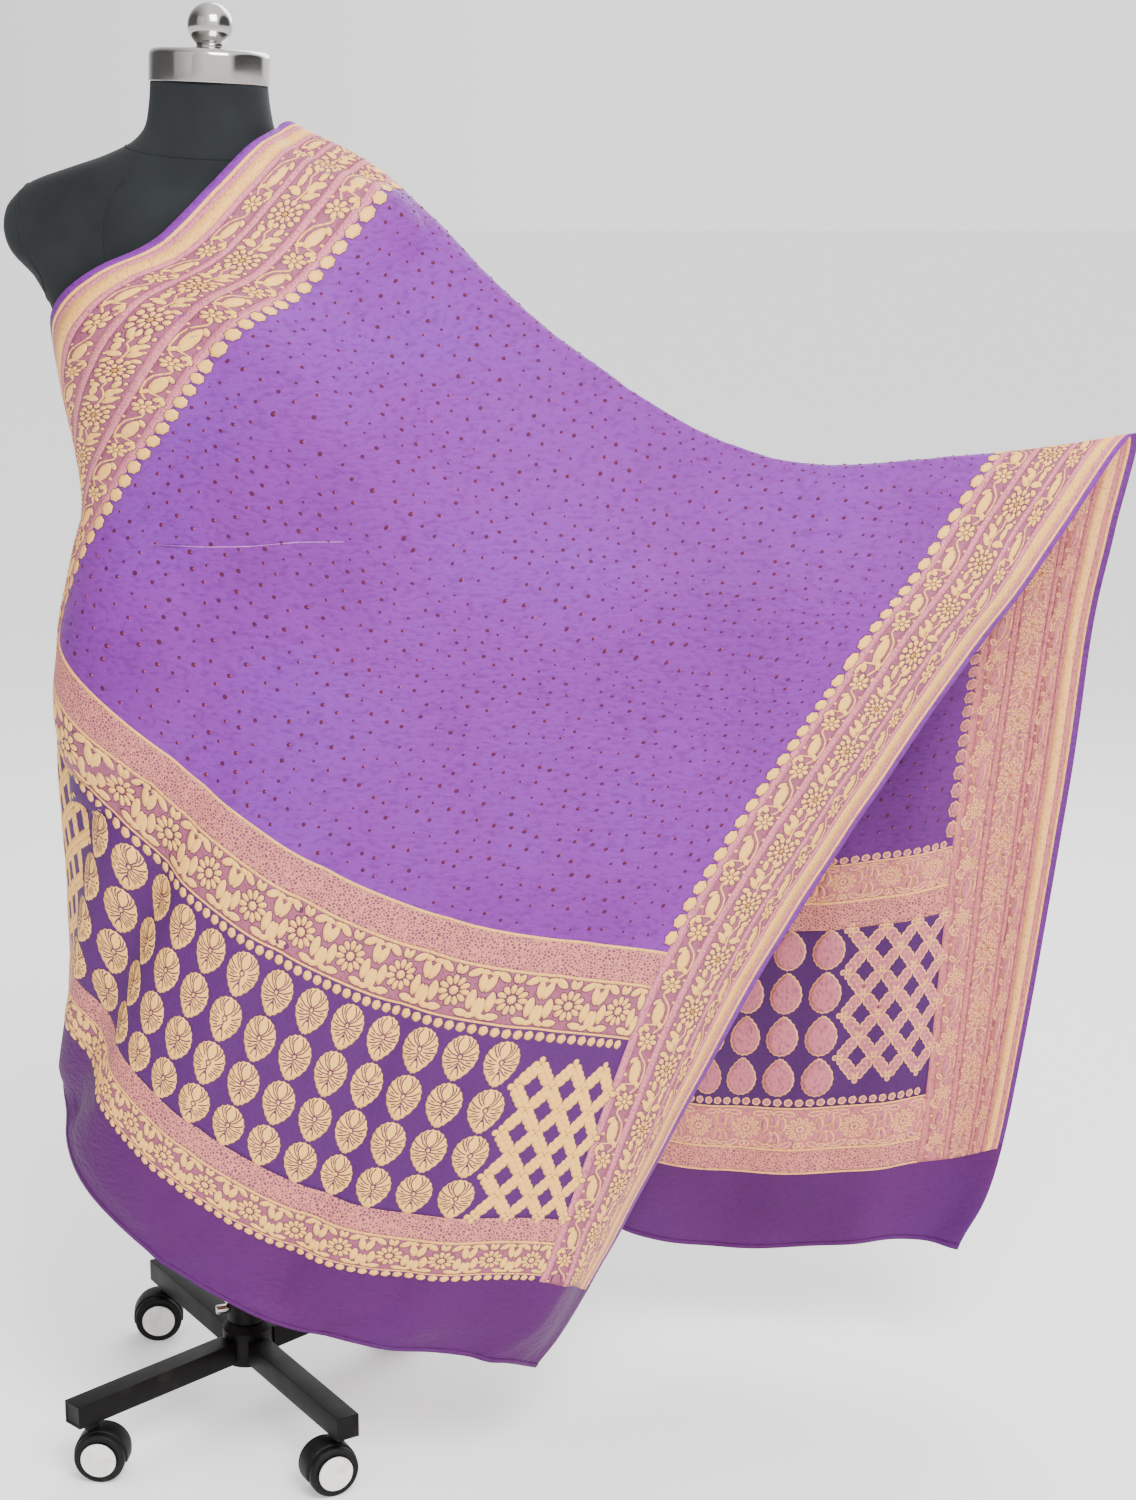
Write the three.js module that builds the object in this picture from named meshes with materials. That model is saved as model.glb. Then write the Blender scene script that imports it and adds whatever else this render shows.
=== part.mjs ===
// A tie-dyed, brocaded cloth draped over a dress form on a four-legged castor stand.
// Millimetres, +Z up. Built about the stand's axis, then set on the middle of its own box.
import * as THREE from 'three';
import * as BufferGeometryUtils from 'three/addons/utils/BufferGeometryUtils.js';

// Cloth, flat: u runs across its width and v along its length from the front hem
const CLOTH_WIDTH = 1010;
const CLOTH_LENGTH = 2000;
const CLOTH_THICK = 2;
const BORDER = 137;
const HEM_TO_PATTERN = 94;
const PANEL = 466;
const BACK_SHIFT = 1440;

// Shares of the way along the field, from the front panel to the fold and from the fold to the back panel
const MID_FIELD = 0.53;
const UPPER_FIELD = 0.75;
const UPPER_BACK = 0.24;
const MID_BACK = 0.52;

// Clearance of the cloth from the form
const CLOTH_CLEAR = 5.8;
const CLEAR_PASSES = 8;
const PASS_LIMIT = 20;
const CLEAR_BELOW_FORM = 30;
const SLOPE_STEP = 1;
const DRAPE_STEP = 0.02;

// Dress form
const FORM_POWER = 2.2;
const FORM_SIDES = 36;
const FORM_STEPS = 44;
const FORM_BOTTOM = 725;
const NECK_TOP = 1411;
const LEAN = 0.045;
const LEAN_FROM = 1080;
const LEAN_FULL = 1260;
const CAP_RADIUS = 59;
const CAP_HEIGHT = 32;
const CAP_SIDE = 20;
const CAP_SHOULDER_RADIUS = 55;
const CAP_SHOULDER_HEIGHT = 27.5;
const CAP_TOP_RADIUS = 42.5;
const KNOB_RADIUS = 22;
const KNOB_NECK = 11;
const KNOB_FOOT = 16.5;
const KNOB_FOOT_HEIGHT = 5;
const KNOB_HEIGHT = 45;
const KNOB_START = -0.95;
const KNOB_STEPS = 8;

// Stand
const SEAT_GAP = 0.3;
const POLE_RADIUS = 16;
const HUB_RADIUS = 27;
const HUB_BOTTOM = 58;
const HUB_TOP = 104;
const HUB_SLOPE = 6;
const HUB_SLOPE_HEIGHT = 8;
const LEG_WIDTH = 25;
const LEG_HEIGHT = 25;
const LEG_BOTTOM = 63;
const LEG_REACH = 232;
const ROUND_SIDES = 28;
const ARC_STEPS = 12;

// Castors
const CASTOR_INSET = 22;
const WHEEL_RADIUS = 27;
const WHEEL_WIDTH = 13;
const WHEEL_AXLE_Z = 26.6;
const WEB_WIDTH = 11;
const WEB_RADIUS = 24.5;
const TRAIL = 12;
const STEM_RADIUS = 6;
const DISC_RADIUS = 18.5;
const DISC_WIDTH = 2.5;

// Form sections from the bottom up: height, half width, depth in front, depth behind
const FORM_SECTIONS = [
  { z: 725, half: 158, front: 98, back: 110 },
  { z: 745, half: 166, front: 106, back: 117 },
  { z: 800, half: 171, front: 110, back: 123 },
  { z: 870, half: 161, front: 104, back: 116 },
  { z: 940, half: 144, front: 96, back: 100 },
  { z: 1000, half: 133, front: 92, back: 88 },
  { z: 1060, half: 138, front: 104, back: 90 },
  { z: 1110, half: 147, front: 121, back: 96 },
  { z: 1150, half: 153, front: 127, back: 100 },
  { z: 1190, half: 161, front: 119, back: 103 },
  { z: 1220, half: 178, front: 105, back: 100 },
  { z: 1242, half: 200, front: 92, back: 92 },
  { z: 1263, half: 207, front: 84, back: 86 },
  { z: 1285, half: 203, front: 78, back: 80 },
  { z: 1301, half: 190, front: 72, back: 76 },
  { z: 1312, half: 174, front: 68, back: 74 },
  { z: 1325, half: 141, front: 66, back: 72 },
  { z: 1338, half: 106, front: 64, back: 68 },
  { z: 1352, half: 78, front: 61, back: 64 },
  { z: 1367, half: 64, front: 58, back: 60 },
  { z: 1390, half: 59, front: 56, back: 57 },
  { z: 1411, half: 57, front: 56, back: 56 },
];

// Lengthwise threads of the cloth: place across the width, flat length from the front hem to the
// fold, mesh steps to the next thread, and the points of the front half, of the fold and of the
// back half, in the order of ROWS
const THREADS = [
  { u: 0, fold: 1120, steps: 8,
    front: [[-66, 152, 436], [-74, 150, 530], [-118, 104, 890], [-152, -30, 1165], [-35, -88, 1273]],
    over: [75, 4, 1376],
    back: [[62, 84, 1300], [34, 110, 1130], [10, 122, 1000], [4, 136, 630], [2, 138, 536]] },
  { u: BORDER, fold: 1110, steps: 9,
    front: [[-176, 92, 415], [-184, 78, 508], [-165, -8, 876], [2, -132, 1150], [95, -108, 1222]],
    over: [176, 6, 1316],
    back: [[174, 78, 1245], [166, 106, 1090], [158, 126, 915], [160, 142, 545], [160, 144, 451]] },
  { u: 382, fold: 1052, steps: 6,
    front: [[-160, -92, 312], [-118, -122, 378], [16, -137, 716], [199, -116, 959], [274, -72, 1059]],
    over: [349, 4, 1158],
    back: [[346, 60, 1060], [334, 100, 930], [318, 120, 700], [308, 134, 330], [304, 137, 238]] },
  { u: 627, fold: 1046, steps: 6,
    front: [[28, -172, 190], [86, -166, 247], [221, -138, 605], [401, -96, 847], [476, -62, 949]],
    over: [554, 6, 1045],
    back: [[552, 62, 945], [542, 96, 815], [528, 120, 590], [502, 140, 218], [478, 138, 128]] },
  { u: CLOTH_WIDTH - BORDER, fold: 1080, steps: 4,
    front: [[260, -150, 131], [322, -150, 217], [452, -112, 558], [626, -72, 831], [709, -48, 940]],
    over: [793, 4, 1051],
    back: [[795, 58, 950], [790, 92, 830], [772, 110, 618], [746, 124, 236], [722, 126, 142]] },
  { u: CLOTH_WIDTH, fold: 1132, steps: 0,
    front: [[316, -104, 98], [372, -74, 172], [556, -34, 515], [733, -8, 793], [826, -8, 927]],
    over: [923, 4, 1070],
    back: [[916, 40, 965], [902, 60, 860], [886, 76, 664], [834, 88, 268], [790, 96, 142]] },
];

// Rows along every thread and the mesh steps from each to the next
const ROWS = [
  { name: 'front hem', steps: 3 },
  { name: 'front pattern end', steps: 9 },
  { name: 'front panel head', steps: 8 },
  { name: 'mid field', steps: 6 },
  { name: 'upper field', steps: 6 },
  { name: 'fold', steps: 6 },
  { name: 'upper back', steps: 5 },
  { name: 'mid back', steps: 5 },
  { name: 'back panel head', steps: 8 },
  { name: 'back pattern end', steps: 3 },
  { name: 'back hem', steps: 0 },
];

// Soft folds pressed into the cloth: from one flat point to another, half width, height outward
const FOLDS = [
  { from: [300, 60], to: [330, 330], wide: 26, high: -13 },
  { from: [255, 50], to: [285, 330], wide: 24, high: 9 },
  { from: [470, 100], to: [455, 520], wide: 30, high: 5 },
  { from: [610, 60], to: [640, 420], wide: 26, high: -5 },
  { from: [760, 30], to: [740, 300], wide: 30, high: 7 },
  { from: [930, 250], to: [945, 900], wide: 34, high: 6 },
  { from: [220, 985], to: [620, 1010], wide: 20, high: -6 },
  { from: [640, 960], to: [900, 985], wide: 26, high: -8 },
  { from: [690, 1300], to: [660, 1990], wide: 44, high: 13 },
  { from: [560, 1350], to: [545, 1990], wide: 40, high: -11 },
  { from: [830, 1350], to: [815, 1990], wide: 36, high: -9 },
  { from: [250, 1350], to: [245, 1990], wide: 46, high: 12 },
];

const finish = {
  cloth: new THREE.MeshStandardMaterial({ color: 0xa97cb8, roughness: 0.75, metalness: 0 }),
  jersey: new THREE.MeshStandardMaterial({ color: 0x1b1c1e, roughness: 0.9, metalness: 0 }),
  chrome: new THREE.MeshStandardMaterial({ color: 0xc8c8ca, roughness: 0.12, metalness: 1 }),
  paint: new THREE.MeshStandardMaterial({ color: 0x151516, roughness: 0.45, metalness: 0.2 }),
  rubber: new THREE.MeshStandardMaterial({ color: 0x202022, roughness: 0.6, metalness: 0 }),
  white: new THREE.MeshStandardMaterial({ color: 0xe4e2dc, roughness: 0.4, metalness: 0 }),
};

// Smooth curve through evenly numbered values
function spline(values, place) {
  const last = values.length - 1;
  const i = Math.min(Math.max(Math.floor(place), 0), last - 1);
  const t = place - i;
  const b = values[i];
  const c = values[i + 1];
  const a = i > 0 ? values[i - 1] : 2 * b - c;
  const d = i < last - 1 ? values[i + 2] : 2 * c - b;
  const slopeB = (c - a) / 2;
  const slopeC = (d - b) / 2;
  const drop = b - c;
  return b + t * (slopeB + t * (-3 * drop - 2 * slopeB - slopeC + t * (2 * drop + slopeB + slopeC)));
}

// Where a value falls among rising stations, as a row number
function rowOf(stations, value) {
  let i = 0;
  while (i < stations.length - 2 && value > stations[i + 1]) {
    i += 1;
  }
  return i + (value - stations[i]) / (stations[i + 1] - stations[i]);
}

const formHeights = FORM_SECTIONS.map((row) => row.z);
const formValues = (name) => FORM_SECTIONS.map((row) => row[name]);
const formTable = { half: formValues('half'), front: formValues('front'), back: formValues('back') };

// A section's size at a height
function formSize(name, z) {
  const held = Math.min(Math.max(z, FORM_BOTTOM), NECK_TOP);
  return spline(formTable[name], rowOf(formHeights, held));
}

// The form's shoulders lean to the loaded side
function leanAt(z) {
  return LEAN * THREE.MathUtils.smoothstep(z, LEAN_FROM, LEAN_FULL);
}

// How far out a point lies from the form's axis, 1 being on the form's surface
function formReach(x, y, z) {
  const level = z + leanAt(z) * x;
  const across = Math.abs(x) / formSize('half', level);
  const along = Math.abs(y) / formSize(y < 0 ? 'front' : 'back', level);
  return (across ** FORM_POWER + along ** FORM_POWER) ** (1 / FORM_POWER);
}

// Moves a cloth point that is too near the form out to its clearance, square to the form
function clearForm(point, clear) {
  const step = SLOPE_STEP;
  for (let pass = 0; pass < CLEAR_PASSES; pass += 1) {
    const { x, y, z } = point;
    if (z > NECK_TOP || z < FORM_BOTTOM - CLEAR_BELOW_FORM) {
      return point;
    }
    const reach = formReach(x, y, z);
    const slope = new THREE.Vector3(
      formReach(x + step, y, z) - formReach(x - step, y, z),
      formReach(x, y + step, z) - formReach(x, y - step, z),
      formReach(x, y, z + step) - formReach(x, y, z - step),
    ).divideScalar(2 * step);
    const short = clear - (reach - 1) / slope.length();
    if (short > 0) {
      point.addScaledVector(slope.normalize(), Math.min(short, PASS_LIMIT));
    }
  }
  return point;
}

const threadPlaces = THREADS.map((thread) => thread.u);
const threadPoints = THREADS.map((thread) => [...thread.front, thread.over, ...thread.back]);
const threadFolds = THREADS.map((thread) => thread.fold);

// Flat lengths of the rows at one place across the threads
function rowLengths(across) {
  const fold = spline(threadFolds, across);
  const backHead = HEM_TO_PATTERN + BACK_SHIFT;
  const front = (share) => THREE.MathUtils.lerp(PANEL, fold, share);
  const back = (share) => THREE.MathUtils.lerp(fold, backHead, share);
  return [
    0, HEM_TO_PATTERN, PANEL, front(MID_FIELD), front(UPPER_FIELD), fold,
    back(UPPER_BACK), back(MID_BACK), backHead, PANEL + BACK_SHIFT, CLOTH_LENGTH,
  ];
}

// Height of the pressed folds at a flat point
function foldHeight(u, v) {
  let high = 0;
  for (const fold of FOLDS) {
    const run = [fold.to[0] - fold.from[0], fold.to[1] - fold.from[1]];
    const long = Math.hypot(run[0], run[1]);
    const off = [u - fold.from[0], v - fold.from[1]];
    const along = (off[0] * run[0] + off[1] * run[1]) / long;
    const away = (off[0] * run[1] - off[1] * run[0]) / long;
    const past = Math.max(0, -along, along - long);
    high += fold.high * Math.exp(-((away / fold.wide) ** 2) - (past / (2 * fold.wide)) ** 2);
  }
  return high;
}

// The smooth draped surface, by place across the threads and row along them
function drape(across, row) {
  const axis = (k) => spline(threadPoints.map((line) => spline(line.map((p) => p[k]), row)), across);
  return new THREE.Vector3(axis(0), axis(1), axis(2));
}

// The way the cloth's face looks
function drapeNormal(across, row) {
  const step = DRAPE_STEP;
  const du = drape(across + step, row).sub(drape(across - step, row));
  const dv = drape(across, row + step).sub(drape(across, row - step));
  return du.cross(dv).normalize();
}

// Middle of the cloth with its pressed folds, clear of the form
function clothPoint(across, row) {
  const u = spline(threadPlaces, across);
  const lengths = rowLengths(across);
  const i = Math.min(Math.floor(row), lengths.length - 2);
  const v = lengths[i] + (row - i) * (lengths[i + 1] - lengths[i]);
  const point = drape(across, row);
  point.addScaledVector(drapeNormal(across, row), foldHeight(u, v));
  return clearForm(point, CLOTH_CLEAR + CLOTH_THICK / 2);
}

// A closed skin of triangles
function closedGeometry(points, faces) {
  const geometry = new THREE.BufferGeometry();
  geometry.setAttribute('position', new THREE.Float32BufferAttribute(points.flat(), 3));
  geometry.setIndex(faces.flat());
  geometry.computeVertexNormals();
  return geometry;
}

// Places of the mesh lines between evenly numbered rows, each with its own count of steps
function meshPlaces(rows) {
  const places = [];
  rows.forEach((row, i) => {
    for (let k = 0; k < row.steps; k += 1) {
      places.push(i + k / row.steps);
    }
  });
  places.push(rows.length - 1);
  return places;
}

// The cloth as a thin closed sheet: its face, its reverse and its four edges
function clothGeometry() {
  const rows = meshPlaces(ROWS);
  const columns = meshPlaces(THREADS);
  const middle = rows.map((row) => columns.map((across) => clothPoint(across, row)));
  const right = columns.length - 1;
  const last = rows.length - 1;
  const at = (j, i) => middle[Math.min(Math.max(j, 0), last)][Math.min(Math.max(i, 0), right)];
  const points = [];
  const number = (side, j, i) => (side * rows.length + j) * columns.length + i;
  for (const side of [1, -1]) {
    for (let j = 0; j <= last; j += 1) {
      for (let i = 0; i <= right; i += 1) {
        const du = at(j, i + 1).clone().sub(at(j, i - 1));
        const dv = at(j + 1, i).clone().sub(at(j - 1, i));
        const normal = du.cross(dv).normalize();
        const point = at(j, i).clone().addScaledVector(normal, (side * CLOTH_THICK) / 2);
        points.push(point.toArray());
      }
    }
  }
  const faces = [];
  const quad = (a, b, c, d) => faces.push([a, b, c], [a, c, d]);
  for (let j = 0; j < last; j += 1) {
    for (let i = 0; i < right; i += 1) {
      quad(number(0, j, i), number(0, j, i + 1), number(0, j + 1, i + 1), number(0, j + 1, i));
      quad(number(1, j, i), number(1, j + 1, i), number(1, j + 1, i + 1), number(1, j, i + 1));
    }
    quad(number(0, j, 0), number(0, j + 1, 0), number(1, j + 1, 0), number(1, j, 0));
    quad(number(0, j, right), number(1, j, right), number(1, j + 1, right), number(0, j + 1, right));
  }
  for (let i = 0; i < right; i += 1) {
    quad(number(0, 0, i), number(1, 0, i), number(1, 0, i + 1), number(0, 0, i + 1));
    quad(number(0, last, i), number(0, last, i + 1), number(1, last, i + 1), number(1, last, i));
  }
  return closedGeometry(points, faces);
}

// Body of the form, from its flat foot to the flat top of its neck
function formGeometry() {
  const points = [];
  const faces = [];
  const power = 2 / FORM_POWER;
  for (let j = 0; j <= FORM_STEPS; j += 1) {
    const z = spline(formHeights, (j / FORM_STEPS) * (formHeights.length - 1));
    for (let i = 0; i < FORM_SIDES; i += 1) {
      const turn = (2 * Math.PI * i) / FORM_SIDES;
      const side = Math.sin(turn) < 0 ? 'front' : 'back';
      const x = formSize('half', z) * Math.sign(Math.cos(turn)) * Math.abs(Math.cos(turn)) ** power;
      const y = formSize(side, z) * Math.sign(Math.sin(turn)) * Math.abs(Math.sin(turn)) ** power;
      points.push([x, y, z - leanAt(z) * x]);
    }
  }
  const foot = points.push([0, 0, FORM_BOTTOM]) - 1;
  const top = points.push([0, 0, NECK_TOP]) - 1;
  const number = (j, i) => j * FORM_SIDES + (i % FORM_SIDES);
  for (let i = 0; i < FORM_SIDES; i += 1) {
    for (let j = 0; j < FORM_STEPS; j += 1) {
      faces.push([number(j, i), number(j, i + 1), number(j + 1, i + 1)]);
      faces.push([number(j, i), number(j + 1, i + 1), number(j + 1, i)]);
    }
    faces.push([foot, number(0, i + 1), number(0, i)]);
    faces.push([top, number(FORM_STEPS, i), number(FORM_STEPS, i + 1)]);
  }
  return closedGeometry(points, faces);
}

// A turned piece from its radius and height pairs, standing on +Z
function turned(profile) {
  const outline = profile.map(([radius, height]) => new THREE.Vector2(radius, height));
  const geometry = new THREE.LatheGeometry(outline, ROUND_SIDES).rotateX(Math.PI / 2);
  return plainPositions(geometry);
}

// The same skin with its points shared between faces
function plainPositions(geometry) {
  geometry.deleteAttribute('normal');
  geometry.deleteAttribute('uv');
  const merged = BufferGeometryUtils.mergeVertices(geometry, 1e-4);
  merged.computeVertexNormals();
  return merged;
}

// A plate cut to an outline that stands upright, thick along its own Y
function uprightPlate(shape, thick) {
  const extrusion = { depth: thick, bevelEnabled: false, curveSegments: ARC_STEPS };
  const geometry = new THREE.ExtrudeGeometry(shape, extrusion);
  geometry.translate(0, 0, -thick / 2).rotateX(Math.PI / 2);
  return plainPositions(geometry);
}

// A named piece
function mesh(name, geometry, material) {
  const piece = new THREE.Mesh(geometry, material);
  piece.name = name;
  return piece;
}

// Plated cap with a rounded shoulder
function capGeometry() {
  return turned([
    [0, 0], [CAP_RADIUS, 0], [CAP_RADIUS, CAP_SIDE], [CAP_SHOULDER_RADIUS, CAP_SHOULDER_HEIGHT],
    [CAP_TOP_RADIUS, CAP_HEIGHT], [0, CAP_HEIGHT],
  ]);
}

// Ball on a waisted foot
function knobGeometry() {
  const middle = KNOB_HEIGHT - KNOB_RADIUS;
  const profile = [[0, 0], [KNOB_FOOT, 0], [KNOB_NECK, KNOB_FOOT_HEIGHT]];
  for (let i = 0; i < KNOB_STEPS; i += 1) {
    const turn = THREE.MathUtils.lerp(KNOB_START, Math.PI / 2, i / KNOB_STEPS);
    profile.push([KNOB_RADIUS * Math.cos(turn), middle + KNOB_RADIUS * Math.sin(turn)]);
  }
  profile.push([0, KNOB_HEIGHT]);
  return turned(profile);
}

// The form with its cap and knob, which lean as its shoulders do
function addForm(stand) {
  stand.add(mesh('form_body', formGeometry(), finish.jersey));
  const knob = mesh('neck_knob', knobGeometry(), finish.chrome);
  knob.position.z = CAP_HEIGHT + SEAT_GAP;
  const neck = new THREE.Group();
  neck.position.z = NECK_TOP + SEAT_GAP;
  neck.rotation.y = Math.atan(LEAN);
  neck.add(mesh('neck_cap', capGeometry(), finish.chrome), knob);
  stand.add(neck);
}

// The pole stands on the hub and carries the form
function addPole(stand) {
  const poleFoot = HUB_TOP + SEAT_GAP;
  const poleLength = FORM_BOTTOM - SEAT_GAP - poleFoot;
  const bar = turned([[0, 0], [POLE_RADIUS, 0], [POLE_RADIUS, poleLength], [0, poleLength]]);
  const pole = mesh('pole', bar, finish.chrome);
  pole.position.z = poleFoot;
  const hubTall = HUB_TOP - HUB_BOTTOM;
  const drum = turned([
    [0, 0], [HUB_RADIUS, 0], [HUB_RADIUS, hubTall - HUB_SLOPE_HEIGHT],
    [HUB_RADIUS - HUB_SLOPE, hubTall], [0, hubTall],
  ]);
  const hub = mesh('hub', drum, finish.paint);
  hub.position.z = HUB_BOTTOM;
  stand.add(pole, hub);
}

// Wheel outline about its axle, with the flat spot it stands on
function wheelShape() {
  const flat = Math.acos(WHEEL_AXLE_Z / WHEEL_RADIUS);
  const shape = new THREE.Shape();
  shape.absarc(0, 0, WHEEL_RADIUS, -Math.PI / 2 + flat, 1.5 * Math.PI - flat);
  return shape;
}

// Round hub disc
function discShape() {
  const shape = new THREE.Shape();
  shape.absarc(0, 0, DISC_RADIUS, 0, 2 * Math.PI);
  return shape;
}

// The web fills the space between the wheels and rises to the stem under the leg
function webShape() {
  const top = LEG_BOTTOM - SEAT_GAP - WHEEL_AXLE_Z;
  const shape = new THREE.Shape();
  shape.absarc(0, 0, WEB_RADIUS, 0.5 * Math.PI, 2 * Math.PI);
  shape.lineTo(TRAIL + STEM_RADIUS, WEB_RADIUS);
  shape.lineTo(TRAIL + STEM_RADIUS, top);
  shape.lineTo(TRAIL - STEM_RADIUS, top);
  shape.lineTo(TRAIL - STEM_RADIUS, WEB_RADIUS);
  return shape;
}

// Twin-wheel castor near the end of its leg, trailing the way it was last pushed
function addCastor(leg, name, heading, legTurn) {
  const castor = new THREE.Group();
  castor.position.set(LEG_REACH - CASTOR_INSET, 0, WHEEL_AXLE_Z);
  castor.rotation.z = heading - legTurn;
  const wheels = new THREE.Group();
  wheels.position.x = -TRAIL;
  wheels.add(mesh(`${name}_web`, uprightPlate(webShape(), WEB_WIDTH), finish.paint));
  const wheelMiddle = WEB_WIDTH / 2 + SEAT_GAP + WHEEL_WIDTH / 2;
  const discMiddle = wheelMiddle + WHEEL_WIDTH / 2 + SEAT_GAP + DISC_WIDTH / 2;
  for (const [side, sign] of [['near', -1], ['far', 1]]) {
    const tyre = uprightPlate(wheelShape(), WHEEL_WIDTH);
    const wheel = mesh(`${name}_wheel_${side}`, tyre, finish.rubber);
    wheel.position.y = sign * wheelMiddle;
    const plate = uprightPlate(discShape(), DISC_WIDTH);
    const disc = mesh(`${name}_disc_${side}`, plate, finish.white);
    disc.position.y = sign * discMiddle;
    wheels.add(wheel, disc);
  }
  castor.add(wheels);
  leg.add(castor);
}

// Legs by name, the way each points and the way its castor is turned, in degrees
const LEGS = [
  { name: 'front_left', turn: 226, heading: 176 },
  { name: 'front_right', turn: 303, heading: 28 },
  { name: 'back_right', turn: 46, heading: 205 },
  { name: 'back_left', turn: 123, heading: 8 },
];

// Square legs round the hub, each on its castor
function addLegs(stand) {
  for (const row of LEGS) {
    const turn = THREE.MathUtils.degToRad(row.turn);
    const leg = new THREE.Group();
    leg.rotation.z = turn;
    const inner = HUB_RADIUS + SEAT_GAP;
    const long = LEG_REACH - inner;
    const bar = new THREE.BoxGeometry(long, LEG_WIDTH, LEG_HEIGHT);
    bar.translate(inner + long / 2, 0, LEG_BOTTOM + LEG_HEIGHT / 2);
    leg.add(mesh(`leg_${row.name}`, plainPositions(bar), finish.paint));
    addCastor(leg, `castor_${row.name}`, THREE.MathUtils.degToRad(row.heading), turn);
    stand.add(leg);
  }
}

const stand = new THREE.Group();
addForm(stand);
addPole(stand);
addLegs(stand);
stand.add(mesh('cloth', clothGeometry(), finish.cloth));

// Set on the floor with the middle of its box over the origin
const box = new THREE.Box3().setFromObject(stand, true);
const centre = box.getCenter(new THREE.Vector3());
stand.position.set(-centre.x, -centre.y, -box.min.z);

const part = new THREE.Group();
part.add(stand);
part.updateMatrixWorld(true);
export default part;
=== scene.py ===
"""Looks of a tie-dyed, brocaded cloth draped over a dress form on a castor stand."""
import math

import bpy
import numpy as np
from mathutils import Matrix, Vector


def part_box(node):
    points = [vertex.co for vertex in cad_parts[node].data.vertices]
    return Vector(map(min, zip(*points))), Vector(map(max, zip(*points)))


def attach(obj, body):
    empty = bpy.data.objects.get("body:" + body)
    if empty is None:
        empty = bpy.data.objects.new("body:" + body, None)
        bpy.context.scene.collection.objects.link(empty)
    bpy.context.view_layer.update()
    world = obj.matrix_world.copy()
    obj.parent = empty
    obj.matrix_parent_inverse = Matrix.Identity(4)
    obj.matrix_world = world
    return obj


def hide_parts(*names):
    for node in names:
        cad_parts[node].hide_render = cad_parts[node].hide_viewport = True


bl_info = {
    "name": "Draped bandhani cloth",
    "version": (1, 0, 0),
    "blender": (4, 5, 0),
    "location": "3D View > Sidebar > Cloth",
    "description": "Dresses the packed stand with its cloth, brocade, form cover and castors",
    "category": "Object",
}

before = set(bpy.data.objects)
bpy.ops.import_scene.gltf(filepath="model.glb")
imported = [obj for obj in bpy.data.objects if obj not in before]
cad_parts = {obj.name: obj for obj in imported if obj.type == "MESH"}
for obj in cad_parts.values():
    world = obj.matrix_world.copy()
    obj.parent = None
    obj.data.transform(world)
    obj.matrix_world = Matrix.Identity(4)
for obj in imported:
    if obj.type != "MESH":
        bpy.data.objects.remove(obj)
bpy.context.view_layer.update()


MM = 0.001
POLE_LOW, POLE_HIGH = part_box("pole")
AXIS = np.array([(POLE_LOW[0] + POLE_HIGH[0]) / 2, (POLE_LOW[1] + POLE_HIGH[1]) / 2, 0.0])

# Form sections from the bottom up, in millimetres: height, half width, depth in front, depth behind
FORM_SECTIONS = np.array([
    (725, 158, 98, 110), (745, 166, 106, 117), (800, 171, 110, 123), (870, 161, 104, 116),
    (940, 144, 96, 100), (1000, 133, 92, 88), (1060, 138, 104, 90), (1110, 147, 121, 96),
    (1150, 153, 127, 100), (1190, 161, 119, 103), (1220, 178, 105, 100), (1242, 200, 92, 92),
    (1263, 207, 84, 86), (1285, 203, 78, 80), (1301, 190, 72, 76), (1312, 174, 68, 74),
    (1325, 141, 66, 72), (1338, 106, 64, 68), (1352, 78, 61, 64), (1367, 64, 58, 60),
    (1390, 59, 56, 57), (1411, 57, 56, 56),
], float)
FORM_BOTTOM = FORM_SECTIONS[0, 0]
NECK_TOP = FORM_SECTIONS[-1, 0]
FORM_POWER = 2.2
LEAN = 0.045
LEAN_FROM = 1080
LEAN_FULL = 1260

# Lengthwise threads of the cloth, in millimetres from the stand's axis: place across the width,
# flat length from the front hem to the fold, and points from the front hem over the fold to the back
THREADS = [
    (0, 1120, [(-66, 152, 436), (-74, 150, 530), (-118, 104, 890), (-152, -30, 1165), (-35, -88, 1273),
               (75, 4, 1376),
               (62, 84, 1300), (34, 110, 1130), (10, 122, 1000), (4, 136, 630), (2, 138, 536)]),
    (137, 1110, [(-176, 92, 415), (-184, 78, 508), (-165, -8, 876), (2, -132, 1150), (95, -108, 1222),
                 (176, 6, 1316),
                 (174, 78, 1245), (166, 106, 1090), (158, 126, 915), (160, 142, 545), (160, 144, 451)]),
    (382, 1052, [(-160, -92, 312), (-118, -122, 378), (16, -137, 716), (199, -116, 959), (274, -72, 1059),
                 (349, 4, 1158),
                 (346, 60, 1060), (334, 100, 930), (318, 120, 700), (308, 134, 330), (304, 137, 238)]),
    (627, 1046, [(28, -172, 190), (86, -166, 247), (221, -138, 605), (401, -96, 847), (476, -62, 949),
                 (554, 6, 1045),
                 (552, 62, 945), (542, 96, 815), (528, 120, 590), (502, 140, 218), (478, 138, 128)]),
    (873, 1080, [(260, -150, 131), (322, -150, 217), (452, -112, 558), (626, -72, 831), (709, -48, 940),
                 (793, 4, 1051),
                 (795, 58, 950), (790, 92, 830), (772, 110, 618), (746, 124, 236), (722, 126, 142)]),
    (1010, 1132, [(316, -104, 98), (372, -74, 172), (556, -34, 515), (733, -8, 793), (826, -8, 927),
                  (923, 4, 1070),
                  (916, 40, 965), (902, 60, 860), (886, 76, 664), (834, 88, 268), (790, 96, 142)]),
]
THREAD_PLACES = np.array([row[0] for row in THREADS], float)
THREAD_FOLDS = np.array([row[1] for row in THREADS], float)
THREAD_POINTS = np.array([row[2] for row in THREADS], float)

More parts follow.
